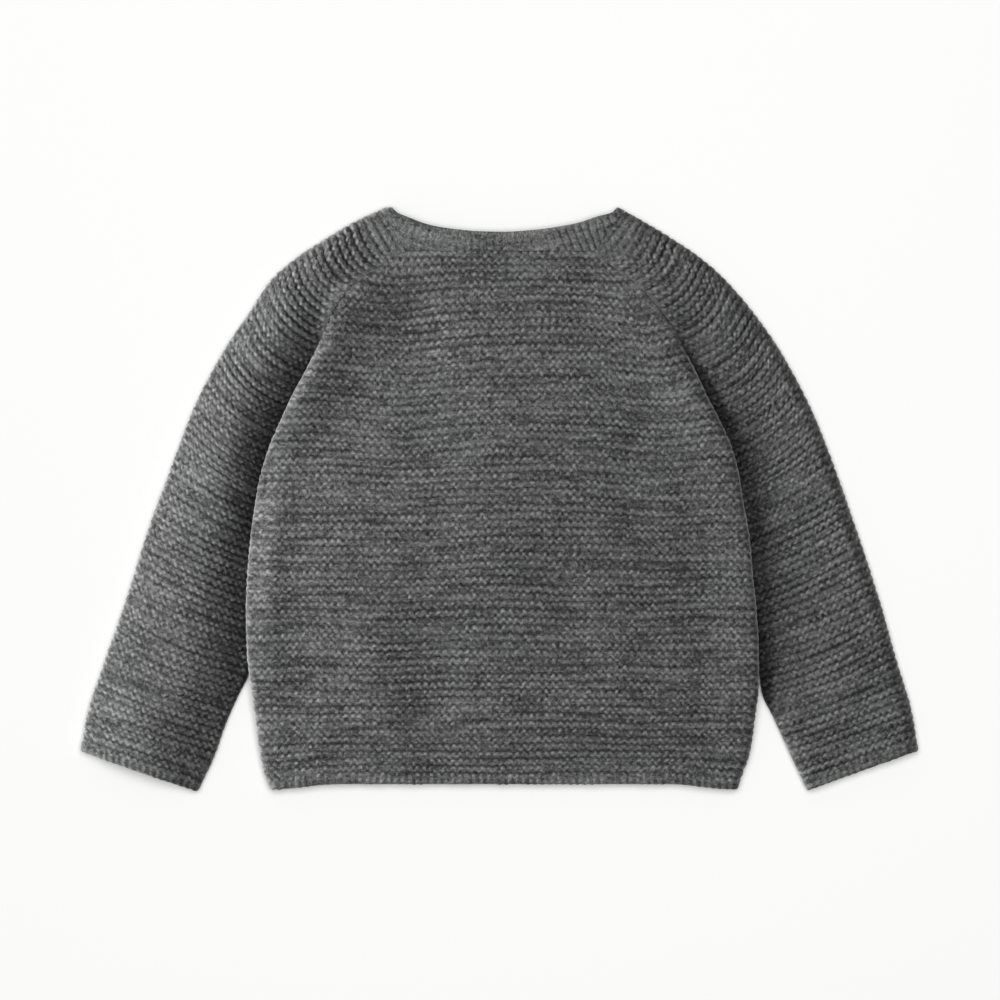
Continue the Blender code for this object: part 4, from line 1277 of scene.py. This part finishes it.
def new_group(name, inputs, outputs):
    """An empty shader group with named sockets."""
    group = bpy.data.node_groups.new(name, "ShaderNodeTree")
    for title, kind, value in inputs:
        socket = group.interface.new_socket(name=title, in_out="INPUT", socket_type=kind)
        if value is not None:
            socket.default_value = value
    for title, kind in outputs:
        group.interface.new_socket(name=title, in_out="OUTPUT", socket_type=kind)
    return group, group.nodes.new("NodeGroupInput"), group.nodes.new("NodeGroupOutput")


def noise(tree, vector, scale, stretch, detail=2.0, roughness=0.5, seed=0.0):
    """A noise on a vector stretched by stretch."""
    mapping = tree.nodes.new("ShaderNodeMapping")
    mapping.inputs["Scale"].default_value = stretch
    mapping.inputs["Location"].default_value = (seed, seed * 1.7, 0.0)
    tree.links.new(vector, mapping.inputs["Vector"])
    texture = tree.nodes.new("ShaderNodeTexNoise")
    texture.inputs["Scale"].default_value = scale
    texture.inputs["Detail"].default_value = detail
    texture.inputs["Roughness"].default_value = roughness
    tree.links.new(mapping.outputs["Vector"], texture.inputs["Vector"])
    return texture.outputs["Fac"]


def mapped(tree, value, low, high, to_low, to_high):
    """A value taken from one range to another."""
    node = tree.nodes.new("ShaderNodeMapRange")
    for socket, number in zip(("From Min", "From Max", "To Min", "To Max"), (low, high, to_low, to_high)):
        node.inputs[socket].default_value = number
    tree.links.new(value, node.inputs["Value"])
    return node.outputs["Result"]


def math_node(tree, operation, a, b):
    """A Math node. a and b are sockets or numbers."""
    node = tree.nodes.new("ShaderNodeMath")
    node.operation = operation
    for i, value in enumerate((a, b)):
        if isinstance(value, (int, float)):
            node.inputs[i].default_value = value
        else:
            tree.links.new(value, node.inputs[i])
    return node.outputs["Value"]


def colour_mix(tree, factor, a, b, blend="MIX"):
    """A mix of two colours. factor and a are sockets or values, b is a colour."""
    node = tree.nodes.new("ShaderNodeMix")
    node.data_type = "RGBA"
    node.blend_type = blend
    node.inputs["B"].default_value = (*b, 1.0)
    tree.links.new(factor, node.inputs["Factor"])
    if isinstance(a, tuple):
        node.inputs["A"].default_value = (*a, 1.0)
    else:
        tree.links.new(a, node.inputs["A"])
    return node.outputs["Result"]


def new_material(name, roughness, specular):
    """A plain material, and its node tree and shader."""
    material = bpy.data.materials.new(name)
    material.use_nodes = True
    shader = material.node_tree.nodes["Principled BSDF"]
    shader.inputs["Roughness"].default_value = roughness
    shader.inputs["Specular IOR Level"].default_value = specular
    return material, material.node_tree, shader


def marl_group():
    """Marled wool: how light the yarn is, and the height of its plies and fibres."""
    group, inside, outside = new_group(
        "marled yarn",
        (("Stitches", "NodeSocketVector", None),),
        (("Shade", "NodeSocketFloat"), ("Cool", "NodeSocketFloat"), ("Fibre", "NodeSocketFloat")),
    )
    vector = inside.outputs["Stitches"]
    shade = MARL_MIDDLE
    for _, wide, high, detail, roughness, seed, weight in MARL[1:]:
        strands = noise(group, vector, 1.0, (wide, high, 1.0), detail, roughness, seed)
        strands = mapped(group, strands, 0.3, 0.7, -1.0, 1.0)
        shade = math_node(group, "ADD", math_node(group, "MULTIPLY", strands, weight), shade)
    group.links.new(shade, outside.inputs["Shade"])
    # Long stretches of a cooler tint.
    cool = mapped(group, noise(group, vector, 1.0, (0.05, 0.06, 1.0), 1.0, 0.5, 5.7), 0.42, 0.62, 0.0, 1.0)
    group.links.new(cool, outside.inputs["Cool"])
    # The plies run slanting round the yarn.
    wave = group.nodes.new("ShaderNodeTexWave")
    wave.inputs["Scale"].default_value = 1.1
    wave.inputs["Distortion"].default_value = 2.0
    wave.inputs["Detail"].default_value = 2.0
    turned = group.nodes.new("ShaderNodeMapping")
    turned.inputs["Rotation"].default_value = (0.0, 0.0, math.radians(35.0))
    turned.inputs["Scale"].default_value = (2.0, 1.0, 1.0)
    group.links.new(vector, turned.inputs["Vector"])
    group.links.new(turned.outputs["Vector"], wave.inputs["Vector"])
    fibre = math_node(group, "ADD", math_node(group, "MULTIPLY", wave.outputs["Fac"], 0.5), strands)
    group.links.new(fibre, outside.inputs["Fibre"])
    return group


def bump_group():
    """Garter bumps: from 1 on a bump to -1 in the hole beside it, and a chance for each bump."""
    group, inside, outside = new_group(
        "garter bumps",
        (("Stitches", "NodeSocketVector", None),),
        (("Bumps", "NodeSocketFloat"), ("Chance", "NodeSocketFloat")),
    )
    parts = group.nodes.new("ShaderNodeSeparateXYZ")
    group.links.new(inside.outputs["Stitches"], parts.inputs["Vector"])
    u, v = parts.outputs["X"], parts.outputs["Y"]
    across = math_node(group, "COSINE", math_node(group, "MULTIPLY", u, 2 * math.pi), 0.0)
    up = math_node(group, "SINE", math_node(group, "MULTIPLY", v, 2 * math.pi), 0.0)
    group.links.new(math_node(group, "MULTIPLY", across, up), outside.inputs["Bumps"])
    cell = group.nodes.new("ShaderNodeCombineXYZ")
    group.links.new(math_node(group, "ROUND", math_node(group, "MULTIPLY", u, 2.0), 0.0), cell.inputs["X"])
    group.links.new(math_node(group, "FLOOR", math_node(group, "MULTIPLY", v, 2.0), 0.0), cell.inputs["Y"])
    random = group.nodes.new("ShaderNodeTexWhiteNoise")
    random.noise_dimensions = "2D"
    group.links.new(cell.outputs["Vector"], random.inputs["Vector"])
    group.links.new(random.outputs["Value"], outside.inputs["Chance"])
    return group


def knit_material(name, marl, bumps, dark, light):
    """Knitted wool: marled yarn with painted shade between the ridges and in the holes, painted highlights on
    the bumps and painted sheen edge on, with a soft nap.
    """
    material, tree, shader = new_material(name, roughness=0.95, specular=0.25)
    shader.inputs["Sheen Weight"].default_value = 0.25
    shader.inputs["Sheen Roughness"].default_value = 0.5
    uv = tree.nodes.new("ShaderNodeUVMap")
    uv.uv_map = "stitches"
    groups = []
    for group in (marl, bumps):
        groups.append(tree.nodes.new("ShaderNodeGroup"))
        groups[-1].node_tree = group
        tree.links.new(uv.outputs["UV"], groups[-1].inputs["Stitches"])
    yarn, pattern = groups
    relief, stitched = tree.nodes.new("ShaderNodeAttribute"), tree.nodes.new("ShaderNodeAttribute")
    relief.attribute_name, stitched.attribute_name = "relief", "stitched"

    # Painted highlight: bumps are lighter, each by a chance of its own, and the yarn of each is a little
    # lighter or darker at random.
    bump_at = math_node(tree, "MULTIPLY", pattern.outputs["Bumps"], stitched.outputs["Fac"])
    painted_highlight = math_node(tree, "MULTIPLY", math_node(tree, "MAXIMUM", bump_at, 0.0), BUMP_PAINTED_HIGHLIGHT)
    painted_highlight = math_node(tree, "MULTIPLY", painted_highlight, mapped(tree, pattern.outputs["Chance"], 0, 1, -0.35, 1))
    own = mapped(tree, pattern.outputs["Chance"], 0.0, 1.0, -OWN_SHADE, OWN_SHADE)
    own = math_node(tree, "MULTIPLY", own, stitched.outputs["Fac"])
    lit = math_node(tree, "ADD", math_node(tree, "ADD", yarn.outputs["Shade"], painted_highlight), own)

    # Painted shade: valleys are darker, and so is the hole beside a bump.
    hole = math_node(tree, "MAXIMUM", math_node(tree, "MULTIPLY", bump_at, -1.0), 0.0)
    valley = mapped(tree, relief.outputs["Fac"], 0.0, 0.9, 0.95, 0.0)
    depth = math_node(tree, "ADD", valley, math_node(tree, "MULTIPLY", hole, HOLE_PAINTED_SHADE))
    depth.node.use_clamp = True

    # Painted sheen: the colour is lighter where the cloth is seen edge on.
    edge_on = tree.nodes.new("ShaderNodeLayerWeight")
    edge_on.inputs["Blend"].default_value = 0.5
    edge_sheen = mapped(tree, edge_on.outputs["Facing"], 0.42, 0.95, 0.0, EDGE_SHEEN_PAINT)

    colour = colour_mix(tree, lit, dark, light)
    colour = colour_mix(tree, yarn.outputs["Cool"], colour, KNIT_COOL, "MULTIPLY")
    # Painted shade in the valleys and the holes.
    colour = colour_mix(tree, depth, colour, PAINTED_SHADE_TINT, "MULTIPLY")
    # Painted sheen where the cloth is seen edge on.
    tree.links.new(colour_mix(tree, edge_sheen, colour, EDGE_SHEEN_COLOUR), shader.inputs["Base Color"])
    bump = tree.nodes.new("ShaderNodeBump")
    bump.inputs["Strength"].default_value = 0.5
    bump.inputs["Distance"].default_value = 0.0004
    tree.links.new(yarn.outputs["Fibre"], bump.inputs["Height"])
    tree.links.new(bump.outputs["Normal"], shader.inputs["Normal"])
    return material


def button_material():
    """Dull resin with a faint cloud in it."""
    material, tree, shader = new_material("resin button", roughness=0.38, specular=0.5)
    spots = tree.nodes.new("ShaderNodeTexCoord").outputs["Object"]
    cloud = noise(tree, spots, 260.0, (1.0, 1.0, 1.0), 3.0)
    tree.links.new(colour_mix(tree, cloud, RESIN_DARK, RESIN_LIGHT), shader.inputs["Base Color"])
    return material


def floor_material():
    """Pale and dull."""
    material, _, shader = new_material("pale floor", roughness=0.9, specular=0.1)
    shader.inputs["Base Color"].default_value = (*FLOOR_COLOUR, 1.0)
    return material


# ---------------------------------------------------------------- the stage


def make_camera():
    """Straight down from far off, so that the outline is almost free of perspective."""
    data = bpy.data.cameras.new("camera")
    data.lens = data.sensor_width * CAMERA_AWAY / CAMERA_WIDE
    data.clip_end = 20.0
    camera = bpy.data.objects.new("camera", data)
    camera.location = (*CAMERA_ASIDE, CAMERA_AWAY + CAMERA_LEVEL)
    bpy.context.scene.collection.objects.link(camera)
    bpy.context.scene.camera = camera


def make_lamp(name, size, power, away, turn, rise):
    """A square soft lamp that faces the origin from a distance, a turn from +X and a rise, in degrees."""
    data = bpy.data.lights.new(name, "AREA")
    data.shape = "SQUARE"
    data.size = size
    data.energy = power
    lamp = bpy.data.objects.new(name, data)
    turn, rise = math.radians(turn), math.radians(rise)
    flat = away * math.cos(rise)
    lamp.location = (flat * math.cos(turn), flat * math.sin(turn), away * math.sin(rise))
    lamp.rotation_euler = (math.pi / 2 - rise, 0.0, turn + math.pi / 2)
    bpy.context.scene.collection.objects.link(lamp)
    return lamp


def lit_by(lamp, objects):
    """Only these objects take light from the lamp."""
    group = bpy.data.collections.new(f"lit by {lamp.name}")
    for thing in objects:
        group.objects.link(thing)
    lamp.light_linking.receiver_collection = group


def make_lights(garment, floor):
    """Broad lamps low on both sides for the garment, one overhead for the floor, and even light all round."""
    scene = bpy.context.scene
    world = bpy.data.worlds.new("studio")
    scene.world = world
    world.use_nodes = True
    around = world.node_tree.nodes["Background"]
    around.inputs["Color"].default_value = (1.0, 1.0, 1.0, 1.0)
    around.inputs["Strength"].default_value = ROOM_LIGHT
    for name, *lamp in LAMPS[1:]:
        lit_by(make_lamp(name, *lamp), [floor] if name == "floor lamp" else garment)
    scene.view_settings.view_transform = "Standard"
    scene.view_settings.look = "None"


def make_floor():
    """The surface that the cardigan lies on."""
    bpy.ops.object.select_all(action="DESELECT")
    bpy.ops.mesh.primitive_plane_add(size=FLOOR_SIZE, location=(0.0, 0.0, -FLOOR_DOWN))
    floor = bpy.context.object
    floor.name = "floor"
    floor.data.transform(floor.matrix_world)
    floor.matrix_world.identity()
    floor.data.materials.append(floor_material())
    return floor


# ---------------------------------------------------------------- buttons


def cylinder(name, radius, low, high, x, y, sides):
    """An upright cylinder between two heights."""
    bpy.ops.object.select_all(action="DESELECT")
    middle = (x * MM, y * MM, (low + high) / 2 * MM)
    depth = (high - low) * MM
    bpy.ops.mesh.primitive_cylinder_add(vertices=sides, radius=radius * MM, depth=depth, location=middle)
    piece = bpy.context.object
    piece.name = name
    bpy.ops.object.transform_apply(location=True, rotation=True, scale=True)
    return piece


def alone(piece):
    """Selects this piece and nothing else."""
    bpy.ops.object.select_all(action="DESELECT")
    piece.select_set(True)
    bpy.context.view_layer.objects.active = piece


def edit_faces(piece, chosen):
    """Goes into edit mode with only the faces selected whose middle and normal pass the test chosen."""
    alone(piece)
    bpy.context.tool_settings.mesh_select_mode = (False, False, True)
    mesh = piece.data
    for items in (mesh.vertices, mesh.edges):
        items.foreach_set("select", [False] * len(items))
    for face in mesh.polygons:
        face.select = chosen(face.center, face.normal)
    bpy.ops.object.mode_set(mode="EDIT")


def out_of_edit(piece):
    """Leaves edit mode with the whole piece's faces turned outwards."""
    bpy.ops.mesh.select_all(action="SELECT")
    bpy.ops.mesh.normals_make_consistent(inside=False)
    bpy.ops.object.mode_set(mode="OBJECT")
    piece.data.update()


def cut_by(piece, cutters):
    """Cuts joined cutters out of a piece and takes them away."""
    alone(cutters[0])
    for cutter in cutters:
        cutter.select_set(True)
    if len(cutters) > 1:
        bpy.ops.object.join()
    cut = piece.modifiers.new("cut", "BOOLEAN")
    cut.operation = "DIFFERENCE"
    cut.solver = "EXACT"
    cut.object = cutters[0]
    alone(piece)
    bpy.ops.object.modifier_apply(modifier=cut.name)
    bpy.data.objects.remove(cutters[0])


def button_spots():
    """x and y of each button, down the centre front."""
    return [(CENTRE, BUTTON_TOP - BUTTON_PITCH * i) for i in range(BUTTONS)]


def cut_buttonholes(front, material):
    """The openings that the buttons sit in, a little wider than they are."""
    cutters = [
        cylinder(f"opening {i}", BUTTON_RADIUS + BUTTON_ROOM, -2 * CUT_PAST, WALL + CUT_PAST, *spot, 40)
        for i, spot in enumerate(button_spots())
    ]
    for cutter in cutters:
        cutter.data.uv_layers[0].name = "stitches"
        cutter.data.materials.append(material)
    cut_by(front, cutters)


def make_button(x, y, material):
    """A four-hole button with a rim round its dished face, which is turned down."""
    button = cylinder("button_1_resin", BUTTON_RADIUS, 0.0, BUTTON_THICK, x, y, 56)
    button.data.materials.append(material)
    edit_faces(button, lambda middle, normal: normal.z < -0.9)
    bpy.ops.mesh.inset(thickness=BUTTON_RIM * MM, depth=0.0)
    bpy.ops.mesh.inset(thickness=BUTTON_SLOPE * MM, depth=-BUTTON_DISH * MM)
    bpy.ops.object.mode_set(mode="OBJECT")
    round_off = button.modifiers.new("round", "BEVEL")
    round_off.width = BUTTON_ROUND * MM
    round_off.segments = 3
    round_off.limit_method = "ANGLE"
    round_off.angle_limit = math.radians(30)
    bpy.ops.object.modifier_apply(modifier=round_off.name)
    cutters = [
        cylinder("hole", BUTTON_HOLE, -CUT_PAST, BUTTON_THICK + CUT_PAST, x + right, y + up, 20)
        for right in (-HOLE_AWAY, HOLE_AWAY) for up in (-HOLE_AWAY, HOLE_AWAY)
    ]
    cut_by(button, cutters)
    alone(button)
    bpy.ops.object.shade_smooth_by_angle(angle=math.radians(35))
    return button


def make_thread(x, y, material):
    """Two stitches of yarn under the button's face, each down one hole and up the next."""
    turn, up_through = THREAD_TURN * MM, (BUTTON_THICK - THREAD_TURN) * MM
    parts = []
    for up in (-HOLE_AWAY, HOLE_AWAY):
        bpy.ops.object.select_all(action="DESELECT")
        spot = ((x - HOLE_AWAY) * MM, (y + up) * MM, turn)
        bpy.ops.mesh.primitive_circle_add(vertices=10, radius=THREAD * MM, fill_type="NGON", location=spot)
        part = bpy.context.object
        bpy.ops.object.transform_apply(location=True, rotation=True, scale=True)
        edit_faces(part, lambda middle, normal: True)
        bpy.ops.mesh.spin(steps=10, angle=math.pi, center=(x * MM, (y + up) * MM, turn), axis=(0.0, 1.0, 0.0))
        out_of_edit(part)
        for point in part.data.vertices:
            if point.co.z < turn:
                point.co.z = turn + (point.co.z - turn) * THREAD_FLAT
        edit_faces(part, lambda middle, normal: abs(normal.z) > 0.99 and abs(middle.z - turn) < 0.01 * MM)
        bpy.ops.mesh.extrude_region_move(TRANSFORM_OT_translate={"value": (0.0, 0.0, up_through)})
        out_of_edit(part)
        parts.append(part)
    alone(parts[0])
    parts[1].select_set(True)
    bpy.ops.object.join()
    thread = parts[0]
    thread.name = "button_1_thread"
    thread.data.materials.append(material)
    thread.data.shade_smooth()
    return thread


def copied(piece, name, x, y):
    """Another of the same, moved."""
    other = piece.copy()
    other.data = piece.data.copy()
    other.name = name
    other.data.transform(Matrix.Translation((x * MM, y * MM, 0.0)))
    bpy.context.scene.collection.objects.link(other)
    return other


def make_buttons(resin, yarn):
    """The buttons and their threads, in pairs. The first pair is made and the others are copied from it."""
    spots = button_spots()
    button, thread = make_button(*spots[0], resin), make_thread(*spots[0], yarn)
    made = [(button, thread)]
    for i, (x, y) in enumerate(spots[1:], 2):
        move = (x - spots[0][0], y - spots[0][1])
        made.append((copied(button, f"button_{i}_resin", *move), copied(thread, f"button_{i}_thread", *move)))
    return made


# ---------------------------------------------------------------- the garment


def make_cardigan():
    """All the pieces, attached to the root, each with the solid that it replaces hidden."""
    knit = knit_material("garter knit", marl_group(), bump_group(), KNIT_DARK, KNIT_LIGHT)
    pieces = {"back": make_back(knit), "neckband": make_neckband(knit)}
    for side in SIDES:
        pieces[f"front_{side}"] = make_front(side, knit)
        pieces[f"sleeve_{side}"] = make_sleeve(side, knit)
    for node, piece in pieces.items():
        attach(piece, "root")
        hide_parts(node)
    cut_buttonholes(pieces["front_left"], knit)
    made = list(pieces.values())
    for i, (button, thread) in enumerate(make_buttons(button_material(), knit), 1):
        for piece in (button, thread):
            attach(piece, "root")
            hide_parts(f"button_{i}")
        made += [button, thread]
    return made


make_camera()
make_lights(make_cardigan(), make_floor())
